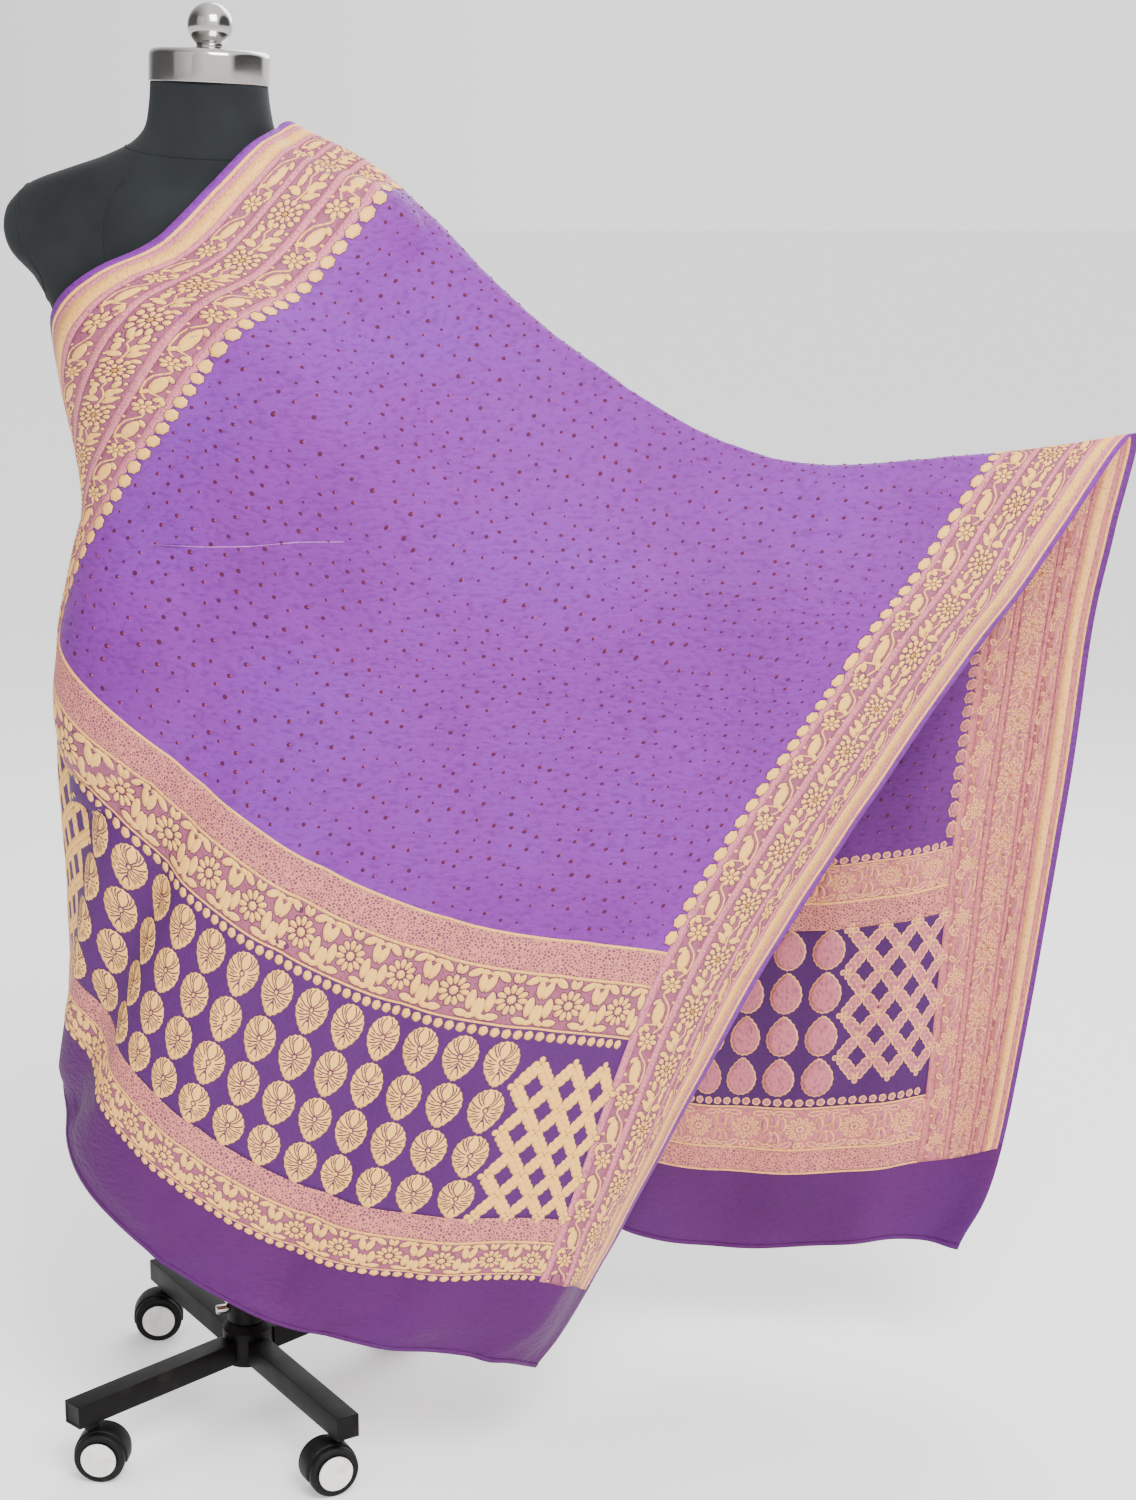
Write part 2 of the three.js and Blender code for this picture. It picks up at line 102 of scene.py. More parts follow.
# Soft folds in the flat cloth, in millimetres: from u, v to u, v, half width, height outward
FOLDS = [
    (300, 60, 330, 330, 26, -13), (255, 50, 285, 330, 24, 9), (470, 100, 455, 520, 30, 5),
    (610, 60, 640, 420, 26, -5), (760, 30, 740, 300, 30, 7), (930, 250, 945, 900, 34, 6),
    (220, 985, 620, 1010, 20, -6), (640, 960, 900, 985, 26, -8), (690, 1300, 660, 1990, 44, 13),
    (560, 1350, 545, 1990, 40, -11), (830, 1350, 815, 1990, 36, -9), (250, 1350, 245, 1990, 46, 12),
]
# Pressed creases from the cloth's storage folds, in the same columns
CREASES = [
    (330, 95, 352, 480, 13, -4.0), (470, 90, 500, 480, 13, -4.5), (612, 90, 640, 480, 13, -4.0),
    (760, 350, 772, 480, 14, -3.5), (520, 0, 540, 100, 13, 3.0), (700, 0, 720, 100, 14, -3.5),
    (880, 0, 905, 110, 15, 4.0), (610, 1520, 604, 1700, 15, -4.0), (720, 1500, 716, 1760, 15, 3.5),
]

# The flat cloth, in millimetres: its size, borders, plain ends, end panels and hems
WIDTH = 1010.0
LENGTH = 2000.0
BORDER = 137.0
HEM_TO_PATTERN = 94.0
PANEL = 466.0
BACK_SHIFT = 1440.0
FIELD_END = HEM_TO_PATTERN + BACK_SHIFT
PATTERN_END = PANEL + BACK_SHIFT
HEM_WIDTH = 5.0
# Cells of the cloth's own grid
GRID_ACROSS = 112
GRID_ALONG = 256
# Rows of the drape's threads, as shares of the way from the front panel to the fold,
# and of the way from the fold to the back panel
FRONT_ROWS = (0.53, 0.75)
BACK_ROWS = (0.24, 0.52)
# Room that the cloth keeps from the form, in millimetres, and how it is found
CLOTH_CLEAR = 6.8
CLEAR_ROUNDS = 8
CLEAR_STEP = 20
CLEAR_BELOW = 30
# Uneven rise and fall of the weave, in millimetres, and where the tied field starts
SLOW_PUCKER = 0.9
QUICK_PUCKER = 0.35
FIELD_INSET = 150


class ClothSizes(bpy.types.PropertyGroup):
    """Sizes of the cloth's weave that a user would change"""
    thickness: bpy.props.FloatProperty(
        name="Thickness", description="Thickness of the ground weave", default=0.9 * MM, unit="LENGTH")
    dot_pitch: bpy.props.FloatProperty(
        name="Dot pitch", description="Distance from one tied dot to the next", default=17 * MM,
        unit="LENGTH")
    dot_radius: bpy.props.FloatProperty(
        name="Dot radius", description="Radius of a tied dot", default=2.3 * MM, unit="LENGTH")


def colour_property(name, description, default):
    """A colour that a user can change, as linear red, green and blue."""
    return bpy.props.FloatVectorProperty(
        name=name, description=description, default=default, size=3, subtype="COLOR", min=0, max=1)


def linear(red, green, blue):
    """Linear colour of an eight-bit display colour."""
    return tuple(((c / 255 + 0.055) / 1.055) ** 2.4 for c in (red, green, blue))


class ClothColours(bpy.types.PropertyGroup):
    """Colours of the cloth and the stand"""
    violet: colour_property("Violet", "Dyed ground of the cloth", linear(123, 37, 150))
    violet_back: colour_property("Violet reverse", "Reverse of the dyed ground", linear(98, 34, 116))
    plain_end: colour_property("Plain end", "Unwoven ends beyond the pattern", linear(80, 20, 90))
    violet_deep: colour_property("Deep violet", "Ground between the drops of the panels", linear(74, 20, 92))
    rose_ground: colour_property("Rose ground", "Ground under the brocade", linear(154, 80, 106))
    # Dark thread of the lines in the drops, also used as the painted shadow that rings each large gold float
    contour: colour_property("Contour", "Dark thread round the motifs", linear(90, 40, 76))
    gold: colour_property("Gold", "Brocade floats", linear(255, 192, 98))
    rose_gold: colour_property("Rose gold", "Fine brocade strips", linear(208, 116, 134))
    tied_dot: colour_property("Tied dot", "Dark centre of each tied dot", linear(80, 14, 54))
    jersey: colour_property("Jersey", "Knitted cover of the form", linear(29, 32, 34))


# Cloth surface

def spread_ends(table, axis):
    """Adds one straight-line row beyond each end of a table."""
    table = np.moveaxis(table, axis, 0)
    first = 2 * table[:1] - table[1:2]
    last = 2 * table[-1:] - table[-2:-1]
    return np.moveaxis(np.concatenate([first, table, last]), 0, axis)


def spline_weights(place, count):
    """First index and four weights of the smooth curve through evenly numbered rows."""
    i = np.clip(np.floor(place).astype(int), 0, count - 2)
    t = place - i
    weights = np.stack([
        -t / 2 + t ** 2 - t ** 3 / 2,
        1 - 2.5 * t ** 2 + 1.5 * t ** 3,
        t / 2 + 2 * t ** 2 - 1.5 * t ** 3,
        -t ** 2 / 2 + t ** 3 / 2,
    ], -1)
    return i, weights


def spline(values, place):
    """Smooth curve through evenly numbered values."""
    first, weights = spline_weights(place, len(values))
    spread = spread_ends(np.asarray(values, float), 0)
    return sum(weights[..., k] * spread[first + k] for k in range(4))


SPREAD_POINTS = spread_ends(spread_ends(THREAD_POINTS, 0), 1)


def drape(across, row):
    """Points of the smooth drape, by place across the threads and row along them."""
    first_across, weights_across = spline_weights(across, THREAD_POINTS.shape[0])
    first_row, weights_row = spline_weights(row, THREAD_POINTS.shape[1])
    points = np.zeros(across.shape + (3,))
    for a in range(4):
        for b in range(4):
            weight = weights_across[..., a] * weights_row[..., b]
            points += weight[..., None] * SPREAD_POINTS[first_across + a, first_row + b]
    return points


def row_of(v, across):
    """Row number of each flat length v at its place across the threads."""
    fold = spline(THREAD_FOLDS, across)
    front = [PANEL + share * (fold - PANEL) for share in FRONT_ROWS]
    back = [fold + share * (FIELD_END - fold) for share in BACK_ROWS]
    lengths = np.stack(np.broadcast_arrays(
        0.0, HEM_TO_PATTERN, PANEL, *front, fold, *back, FIELD_END, PATTERN_END, LENGTH), -1)
    i = (v[..., None] >= lengths[..., 1:-1]).sum(-1)
    low = np.take_along_axis(lengths, i[..., None], -1)[..., 0]
    high = np.take_along_axis(lengths, i[..., None] + 1, -1)[..., 0]
    return i + (v - low) / (high - low)


def lean_at(z):
    """How far the form's shoulders tip to the loaded side."""
    t = np.clip((z - LEAN_FROM) / (LEAN_FULL - LEAN_FROM), 0, 1)
    return LEAN * t * t * (3 - 2 * t)


def form_depth(in_front, place):
    """Depth of the form in front of its axis or behind it, by place among its sections."""
    return np.where(in_front, spline(FORM_SECTIONS[:, 2], place), spline(FORM_SECTIONS[:, 3], place))


def form_reach(x, y, z):
    """How far out a point lies from the form's axis, 1 being on its surface."""
    level = np.clip(z + lean_at(z) * x, FORM_BOTTOM, NECK_TOP)
    place = np.interp(level, FORM_SECTIONS[:, 0], np.arange(len(FORM_SECTIONS)))
    depth = form_depth(y < 0, place)
    across = np.abs(x) / spline(FORM_SECTIONS[:, 1], place)
    return (across ** FORM_POWER + (np.abs(y) / depth) ** FORM_POWER) ** (1 / FORM_POWER)


def clear_form(points, clear):
    """Moves points that are too near the form out to their clearance, square to the form."""
    for _ in range(CLEAR_ROUNDS):
        x, y, z = points[:, 0], points[:, 1], points[:, 2]
        reach = form_reach(x, y, z)
        slope = np.stack([
            form_reach(x + 1, y, z) - form_reach(x - 1, y, z),
            form_reach(x, y + 1, z) - form_reach(x, y - 1, z),
            form_reach(x, y, z + 1) - form_reach(x, y, z - 1),
        ], -1) / 2
        steep = np.linalg.norm(slope, axis=-1) + 1e-9
        short = np.clip(clear - (reach - 1) / steep, 0, CLEAR_STEP)
        short[(z > NECK_TOP) | (z < FORM_BOTTOM - CLEAR_BELOW)] = 0
        points = points + slope / steep[:, None] * short[:, None]
    return points


def line_heights(u, v, table):
    """Height of soft folds or creases at flat points."""
    high = np.zeros_like(u)
    for from_u, from_v, to_u, to_v, wide, tall in table:
        run = np.array([to_u - from_u, to_v - from_v], float)
        long = np.hypot(*run)
        along = ((u - from_u) * run[0] + (v - from_v) * run[1]) / long
        away = ((u - from_u) * run[1] - (v - from_v) * run[0]) / long
        past = np.maximum(0, np.maximum(-along, along - long))
        high += tall * np.exp(-(away / wide) ** 2 - (past / (2 * wide)) ** 2)
    return high


def fade(distance, over):
    """Rises from 0 to 1 over a distance."""
    return np.clip(distance / over, 0, 1)


def pucker(u, v):
    """Small uneven rise and fall that tying leaves in the field, in millimetres."""
    field = fade(u - FIELD_INSET, 40) * fade(WIDTH - FIELD_INSET - u, 40)
    field = field * fade(v - PANEL, 30) * fade(FIELD_END - v, 30)
    slow = np.sin(u / 31 + 1.7 * np.sin(v / 53)) * np.sin(v / 27 + 1.3 * np.sin(u / 47))
    quick = np.sin(u / 6.1 + 2 * np.sin(v / 23)) * np.sin(v / 6.7 + 2 * np.sin(u / 19))
    return SLOW_PUCKER * slow + QUICK_PUCKER * field * quick


def unit(vectors):
    """Vectors at length one."""
    return vectors / np.linalg.norm(vectors, axis=-1, keepdims=True)


class ClothSurface:
    """The cloth's middle surface on an even flat grid, in metres, with its outward directions."""

    def __init__(self):
        v, u = np.meshgrid(np.linspace(0, LENGTH, GRID_ALONG + 1), np.linspace(0, WIDTH, GRID_ACROSS + 1),
                           indexing="ij")
        across = np.interp(u, THREAD_PLACES, np.arange(len(THREAD_PLACES)))
        points = drape(across, row_of(v, across))
        high = line_heights(u, v, FOLDS) + line_heights(u, v, CREASES) + pucker(u, v)
        points = points + high[..., None] * self.directions(points)
        points = clear_form(points.reshape(-1, 3), CLOTH_CLEAR).reshape(points.shape)
        self.normals = self.directions(points)
        self.points = points * MM + AXIS

    @staticmethod
    def directions(points):
        """Outward direction at every grid point."""
        return unit(np.cross(np.gradient(points, axis=1), np.gradient(points, axis=0)))

    def at(self, flat, height):
        """Places of flat points, in millimetres, at a height in metres off the middle surface."""
        x = np.clip(flat[..., 0] / WIDTH * GRID_ACROSS, 0, GRID_ACROSS - 1e-6)
        y = np.clip(flat[..., 1] / LENGTH * GRID_ALONG, 0, GRID_ALONG - 1e-6)
        i, j = x.astype(int), y.astype(int)
        s, t = (x - i)[..., None], (y - j)[..., None]

        def blend(grid):
            low = grid[j, i] * (1 - s) + grid[j, i + 1] * s
            high = grid[j + 1, i] * (1 - s) + grid[j + 1, i + 1] * s
            return low * (1 - t) + high * t

        return blend(self.points) + unit(blend(self.normals)) * height


SURFACE = ClothSurface()


# Mesh helpers

def new_mesh_object(name, points, faces, materials, face_materials=None):
    """A mesh object at the origin from points, faces and the material number of each face."""
    mesh = bpy.data.meshes.new(name)
    mesh.from_pydata([tuple(p) for p in points], [], [tuple(int(i) for i in f) for f in faces])
    for material in materials:
        mesh.materials.append(material)
    if face_materials is not None:
        mesh.polygons.foreach_set("material_index", np.asarray(face_materials, np.int32))
    mesh.polygons.foreach_set("use_smooth", np.ones(len(mesh.polygons), bool))
    mesh.validate()
    mesh.update()
    piece = bpy.data.objects.new(name, mesh)
    bpy.context.scene.collection.objects.link(piece)
    return piece


def grid_faces(rows, columns):
    """Faces of a grid of numbered points, and the numbers round its rim."""
    number = np.arange(rows * columns).reshape(rows, columns)
    faces = np.stack([number[:-1, :-1], number[:-1, 1:], number[1:, 1:], number[1:, :-1]], -1).reshape(-1, 4)
    rim = np.concatenate([number[0, :], number[1:, -1], number[-1, -2::-1], number[-2:0:-1, 0]])
    return faces, rim


def slab(flat_grid, top, bottom):
    """Points and faces of a closed slab over a grid of flat points, between two heights."""
    flat = flat_grid.reshape(-1, 2)
    count = len(flat)
    points = np.concatenate([SURFACE.at(flat, height) for height in (top, bottom)])
    upper, rim = grid_faces(*flat_grid.shape[:2])
    following = np.roll(rim, -1)
    walls = np.stack([rim, rim + count, following + count, following], -1)
    return points, upper, upper[:, ::-1] + count, walls


# The cloth's two sides
SIDES = ((1, "face"), (-1, "reverse"))
# Heights off the cloth's face: where a float starts, and the lift that clears the creases
BELOW_FACE = -0.4 * MM
FACE_LIFT = 0.25 * MM
# A float has one ring of points for each span, in millimetres
RING_SPAN = 13.0
# Finishes that look different on the reverse
REVERSE_FINISH = {"gold_cloth": "gold_back", "rose_strip": "rose_back", "rose_ground": "rose_back",
                  "gold": "gold_back", "mesh_brocade": "mesh_back", "violet_deep": "violet_deep_back"}


def even(low, high, pitch):
    """Even stations from low to high about a pitch apart."""
    return np.linspace(low, high, max(2, int(round((high - low) / pitch)) + 1))


def grid_lines(low, high, cell):
    """Stations from low to high that keep to the cloth's own grid lines."""
    lines = np.arange(math.ceil(low / cell), math.floor(high / cell) + 1) * cell
    lines = lines[(lines > low + 0.5) & (lines < high - 0.5)]
    return np.concatenate([[low], lines, [high]])


class Brocade:
    """Outlines of woven motifs, gathered by finish and then laid on one face of the cloth."""

    def __init__(self, side, seen=True):
        self.side = side
        self.seen = seen
        self.finishes = []
        self.points = []
        self.faces = []
        self.numbers = []
        self.total = 0

    def keep(self, points, faces, finish):
        """Keeps one block of points and its faces, turned and finished for this side."""
        if self.side < 0:
            finish = REVERSE_FINISH.get(finish, finish)
            faces = [block[:, ::-1] for block in faces]
        if finish not in self.finishes:
            self.finishes.append(finish)
        for block in faces:
            self.faces.extend((block + self.total).tolist())
            self.numbers.extend([self.finishes.index(finish)] * len(block))
        self.points.append(points)
        self.total += len(points)

    def off_face(self, height):
        """Height off the middle surface of a height off this face."""
        return self.side * (cloth_sizes().thickness / 2 + FACE_LIFT + height)

    def strip(self, finish, low_u, high_u, low_v, high_v, height):
        """A flat band of finer weave."""
        u, v = np.meshgrid(grid_lines(low_u, high_u, WIDTH / GRID_ACROSS),
                           grid_lines(low_v, high_v, LENGTH / GRID_ALONG))
        flat = np.stack([u, v], -1).reshape(-1, 2)
        upper, rim = grid_faces(*u.shape)
        points = np.concatenate([SURFACE.at(flat, self.off_face(height)),
                                 SURFACE.at(flat[rim], self.off_face(BELOW_FACE))])
        foot = len(flat) + np.arange(len(rim))
        walls = np.stack([rim, foot, np.roll(foot, -1), np.roll(rim, -1)], -1)
        self.keep(points, [upper, walls], finish)

    def patches(self, finish, flat, height):
        """Thin flat patches, one for each outline of flat points."""
        count, sides = flat.shape[:2]
        points = SURFACE.at(flat, self.off_face(height))
        if sides == 4:
            self.keep(points.reshape(-1, 3), [np.arange(count * sides).reshape(count, sides)], finish)
        else:
            self.fan(finish, flat, points, height)

    def cones(self, finish, flat, crown):
        """Small pointed knots, one for each outline of flat points."""
        self.fan(finish, flat, SURFACE.at(flat, self.off_face(BELOW_FACE)), crown)

    def fan(self, finish, flat, rims, crown):
        """Faces from the rim of each outline to its middle at a height."""
        count, sides = flat.shape[:2]
        tips = SURFACE.at(flat.mean(1, keepdims=True), self.off_face(crown))
        here = np.arange(count)[:, None] * (sides + 1) + np.arange(sides)
        following = np.roll(here, -1, 1)
        tip = np.broadcast_to(here[:, :1] + sides, here.shape)
        self.keep(np.concatenate([rims, tips], 1).reshape(-1, 3),
                  [np.stack([here, following, tip], -1).reshape(-1, 3)], finish)

    def outlines(self, finish, flat, edge, crown):
        """Raised floats, one for each outline of flat points that runs anticlockwise."""
        flat = np.asarray(flat, float)
        count, sides = flat.shape[:2]
        middle = flat.mean(1, keepdims=True)
        rings = 1 + int(np.ptp(flat[0], axis=0).max() / RING_SPAN)
        heights = [self.off_face(BELOW_FACE)]
        shares = [1.0]
        for k in range(rings):
            shares.append(1 - k / rings)
            heights.append(self.off_face(edge + (crown - edge) * (k / rings)))
        levels = [SURFACE.at(middle + (flat - middle) * share, height)
                  for share, height in zip(shares, heights)]
        levels.append(SURFACE.at(middle, self.off_face(crown)))
        points = np.concatenate(levels, 1).reshape(-1, 3)
        size = sides * (rings + 1) + 1
        base = np.arange(count)[:, None] * size
        ring = np.arange(sides)
        faces = []
        for k in range(rings):
            here, following = base + k * sides + ring, base + k * sides + (ring + 1) % sides
            faces.append(np.stack([here, following, following + sides, here + sides], -1).reshape(-1, 4))
        here, following = base + rings * sides + ring, base + rings * sides + (ring + 1) % sides
        faces.append(np.stack(np.broadcast_arrays(here, following, base + size - 1), -1).reshape(-1, 3))
        self.keep(points, faces, finish)

    def stamp(self, motif, places, flip=1, scale=1.0, limits=(0.0, LENGTH)):
        """Copies of a motif, each outline of it laid at every place where it stays between two lengths."""
        places = np.asarray(places, float)
        for finish, outline, edge, crown in motif:
            shape = outline * scale * np.array([flip, 1])
            shape = shape[::-1] if flip < 0 else shape
            low, high = limits[0] - shape[:, 1].min(), limits[1] - shape[:, 1].max()
            kept = places[(places[:, 1] > low) & (places[:, 1] < high)]
            if len(kept) and edge is None:
                self.patches(finish, kept[:, None, :] + shape[None], crown)
            elif len(kept):
                self.outlines(finish, kept[:, None, :] + shape[None], edge, crown)

    def piece(self, name):
        """The finished piece, riding with the stand."""
        materials = [material_of(finish) for finish in self.finishes]
        piece = new_mesh_object(name, np.concatenate(self.points), self.faces, materials, self.numbers)
        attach(piece, "root")


# Motif outlines, in millimetres, with the heights of a float's edge and crown in metres

EDGE = 0.28 * MM
CROWN = 0.75 * MM


def around(sides):
    """Even turns round a circle."""
    return np.linspace(0, 2 * math.pi, sides, endpoint=False)


def turned(outline, turn, x=0.0, y=0.0):
    """An outline turned about the origin and moved."""
    cos, sin = math.cos(turn), math.sin(turn)
    return np.stack([outline[:, 0] * cos - outline[:, 1] * sin + x,
                     outline[:, 0] * sin + outline[:, 1] * cos + y], -1)


def petal(turn, near, far, half, x=0.0, y=0.0, sides=8):
    """A petal that widens away from its foot."""
    a = around(sides)
    along = (near + far) / 2 - (far - near) / 2 * np.cos(a)
    across = -half * np.sin(a) * (0.95 - 0.25 * np.cos(a))
    return turned(np.stack([along, across], -1), turn, x, y)


def leaf(turn, near, far, half, x=0.0, y=0.0, bend=0.0, sides=10):
    """A pointed leaf, bent to one side."""
    a = around(sides)
    along = (near + far) / 2 - (far - near) / 2 * np.cos(a)
    across = -half * np.sign(np.sin(a)) * np.abs(np.sin(a)) ** 1.35 + bend * np.sin(a / 2) ** 2
    return turned(np.stack([along, across], -1), turn, x, y)


def sprays(table):
    """Leaves from rows of turn in degrees, length, half width, x, y and bend."""
    return [leaf(math.radians(turn), 0, *sizes) for turn, *sizes in table]


def disc(radius, x=0.0, y=0.0, sides=8, lobes=0.0):
    """A round spot, its edge lobed if asked."""
    a = around(sides)
    reach = radius * (1 + lobes * np.where(np.arange(sides) % 2 == 0, 1, -1))
    return np.stack([reach * np.cos(a) + x, reach * np.sin(a) + y], -1)


def stem(points, half):
    """Short bars along a bent stem."""
    points = np.asarray(points, float)
    bars = []
    for start, end in zip(points[:-1], points[1:]):
        run = (end - start) / np.hypot(*(end - start))
        side = np.array([-run[1], run[0]]) * half
        tip = run * half * 0.5
        bars.append(np.array([start - tip - side, end + tip - side, end + tip + side, start - tip + side]))
    return bars


def floats(outlines, finish="gold", edge=EDGE, crown=CROWN):
    """Motif rows of one finish."""
    return [(finish, outline, edge, crown) for outline in outlines]


def bloom(petals, inner, outer, half, heart, x=0.0, y=0.0, start=0.0):
    """A round flower: its petals and its heart."""
    turns = start + np.arange(petals) * 2 * math.pi / petals
    return [petal(turn, inner, outer, half, x, y) for turn in turns] + [disc(heart, x, y)]


def small_vine():
    """Flower, bud and curled leaf of a narrow vine, 60 mm long and 20 mm wide."""
    shapes = bloom(7, 2.4, 9.4, 2.4, 2.2, 0, -17, 0.4)
    shapes += [leaf(math.radians(76), -13, 13, 5.6, 1.8, 12, 2.4)]
    shapes += sprays([(35, 9.5, 2.6, -9, -2, 1.0), (120, 9, 2.5, 8.5, 20, 1.0)])
    shapes += [petal(math.radians(225), 0, 8.5, 2.7, 9, -1), petal(math.radians(278), 0, 8.5, 2.2, 9.2, -2)]
    shapes += stem([(-2, -8), (-6, -3), (-8.8, 4), (-8.6, 14), (-6, 22), (-1, 27), (3, 31), (3, 36)], 0.8)
    shapes += stem([(-8, 2), (-3, 1.5), (4, 0), (9, -1)], 0.7)
    shapes += [disc(1.6, 8.8, 9, 6), disc(1.5, -9.2, -9, 6), disc(1.5, 8.8, -11, 6), disc(1.5, -9, 26, 6)]
    return floats(shapes)


def main_vine():
    """Large flower and leaf sprays of the wide vine, 60 mm long and 32 mm wide."""
    shapes = bloom(12, 8.8, 15.2, 2.8, 2.4, 0, -15)
    shapes += bloom(8, 2.9, 8.6, 2.0, 2.4, 0, -15, 0.3)
    shapes += sprays([
        (28, 14, 3.9, 2, 3, 1.6), (104, 13, 3.9, 6, 8, -1.6), (152, 14, 3.9, -1, 5, 1.6),
        (82, 13, 3.6, -9, 11, 1.5), (18, 13, 3.6, 3, 16, 1.4), (165, 10, 3.2, -5, 24, -1.0),
        (60, 11, 3.2, 5, 22, 1.2), (122, 9, 2.8, -2, 28, 0.8), (196, 9, 2.8, -7, 1, 0.8),
        (-12, 9, 2.8, 7, -1, 0.8)])
    shapes += stem([(0, 0), (1, 5), (2, 10), (0, 17), (-3, 22), (-1, 29)], 0.8)
    shapes += [disc(2.0, 13.5, 11, 6), disc(1.8, -14, 8, 6), disc(2.0, 13.6, 29, 6), disc(2.0, -13, 31, 6)]
    return floats(shapes)


def mirrored(outline):
    """An outline on the other side of the motif's middle line."""
    return (outline * np.array([-1, 1]))[::-1]


def panel_bloom():
    """Round flower in a leafy scroll of the end panels, 44 mm along and 40 mm high."""
    shapes = bloom(11, 4.4, 12.0, 2.2, 3.4, 0, -1)
    right = sprays([
        (82, 16, 3.7, 14.2, -13, 1.6), (98, 15, 3.5, 20.4, 1.5, 1.2), (-96, 15, 3.2, 20.4, -2.5, 1.0),
        (24, 12, 3.2, 5.6, 12.4, 1.4), (-14, 12, 2.9, 4.6, -14.8, 1.0), (66, 8, 2.4, 0.6, 12.0, 0.6),
        (-8, 9, 2.4, 13.0, 17.2, 0.6), (6, 9, 2.2, 13.2, -17.4, 0.6)])
    for shape in right:
        shapes += [shape, mirrored(shape)]
    return floats(shapes)


# A drop motif, in millimetres: half width, heights of its round head and narrow foot, lobes round its edge
DROP_WIDE = 16.4
DROP_TOP = 18.6
DROP_FOOT = 23.4
DROP_TAPER = 0.40
DROP_LOBES = 19
LOBE_DEPTH = 0.025
# Dark lines of the flower spray on the right half of a drop, each a row of points in millimetres
LINE_HALF = 0.6
LINE_LIFT = 0.1 * MM
DROP_LINES = [
    [(0.6, 1.5), (4.6, 6.5), (5.2, 12.0), (2.6, 17.0)], [(1.2, 0.5), (7.0, 5.0), (10.2, 10.5), (10.4, 13.6)],
    [(6.4, 8.0), (7.6, 12.5), (7.0, 15.6)], [(1.5, -1.0), (8.0, 0.8), (12.6, 3.6), (14.6, 5.6)],
    [(1.5, -3.0), (8.0, -3.4), (12.6, -2.6), (15.0, -1.8)],
    [(1.2, -5.0), (6.8, -7.6), (11.0, -8.4), (12.8, -8.2)],
    [(0.9, -7.5), (4.8, -11.6), (8.0, -13.4)], [(0.5, -10.0), (2.6, -14.6), (3.2, -18.0)],
    [(9.4, -0.9), (12.8, 0.4)], [(7.6, -5.4), (11.8, -5.6)], [(5.4, -9.6), (8.8, -10.8)],
    [(0.0, 1.5), (2.2, 0.0), (2.2, -2.2), (0.0, -4.0)],
]


def drop_edge(sides):
    """Lobed outline of a drop, round at its head and narrow at its foot."""
    a = around(sides)
    foot = np.sin(a) < 0
    lobes = 1 + LOBE_DEPTH * np.cos(DROP_LOBES * a)
    x = DROP_WIDE * np.cos(a) * np.where(foot, 1 - DROP_TAPER * np.sin(a) ** 2, 1)
    y = np.where(foot, DROP_FOOT, DROP_TOP) * np.sin(a)
    return np.stack([x, y], -1) * lobes[:, None]


def drop_motif():
    """A drop filled with a flower spray, about 33 by 42 mm, narrow end to the hem."""
    lines = []
    for points in DROP_LINES:
        bars = stem(points, LINE_HALF)
        lines += bars + [mirrored(bar) for bar in bars]
    lines += stem([(0, -4), (0, -12)], LINE_HALF)
    rows = floats([drop_edge(2 * DROP_LOBES)])
    for line in lines:
        share = min(1.0, np.hypot(*(line.mean(0) / np.array([DROP_WIDE, DROP_FOOT]))))
        height = CROWN - (CROWN - EDGE) * share + LINE_LIFT
        rows.append(("contour", line, None, height))
    return rows


# Painted shadow round a motif, as a dark edge, and rim of its reverse, in millimetres, and the height of the
# painted shadow
PAINTED_SHADOW_WIDTH = 0.9
SMALLEST_OUTLINED = 3.0
REVERSE_RIM = 1.5
PAINTED_SHADOW_HEIGHT = 0.2 * MM
# Heights on the reverse as shares of a float's crown: rim, edge of its fill and crown of its fill
RIM_SHARE = 0.8
FILL_EDGE_SHARE = 0.95
FILL_SHARE = 0.98


def grown(outline, by):
    """An outline made larger all round by a distance, or smaller by a negative one."""
    middle = outline.mean(0)
    away = outline - middle
    reach = np.linalg.norm(away, axis=1, keepdims=True)
    return middle + away * np.maximum(0.2, 1 + by / np.maximum(reach, 0.1))


def is_small(outline):
    """Whether an outline needs one ring of points only."""
    return np.ptp(outline, axis=0).max() < RING_SPAN


def painted_shadow_patches(outline):
    """Painted shadow round an outline, as a dark edge: one patch under a small shape, a ring of them round a
    large one.
    """
    outer = grown(outline, PAINTED_SHADOW_WIDTH)
    if is_small(outline):
        return [outer]
    inner = grown(outline, -PAINTED_SHADOW_WIDTH)
    following = np.roll(np.arange(len(outline)), -1)
    return list(np.stack([outer, outer[following], inner[following], inner], 1))


def reverse_rows(motif, filled):
    """Motif rows of the reverse: raised rims, then sunk fills. A small shape is a flat patch."""
    rims = [(finish, outline, None if is_small(outline) else edge, RIM_SHARE * crown)
            for finish, outline, edge, crown in motif if finish in REVERSE_FINISH]
    fills = [("rose_fill_back", grown(outline, -REVERSE_RIM),
              None if is_small(outline) else FILL_EDGE_SHARE * crown, FILL_SHARE * crown)
             for finish, outline, edge, crown in filled]
    return rims + fills


def lay(weave, motif, places, flip=1, scale=1.0, limits=(0.0, LENGTH)):
    """Lays a motif, with a painted shadow as a dark edge round its large gold floats on the face. A hidden
    reverse has its large rims only.
    """
    large = [row for row in motif if row[0] == "gold" and np.ptp(row[1], axis=0).min() > SMALLEST_OUTLINED]
    if weave.side > 0:
        # Painted shadow: dark patches under and round each large gold float on the face
        rows = [("contour", patch, None, PAINTED_SHADOW_HEIGHT)
                for row in large for patch in painted_shadow_patches(row[1])] + motif
    elif weave.seen:
        rows = reverse_rows(motif, large)
    else:
        rows = reverse_rows(large, [])
    weave.stamp(rows, places, flip, scale, limits)


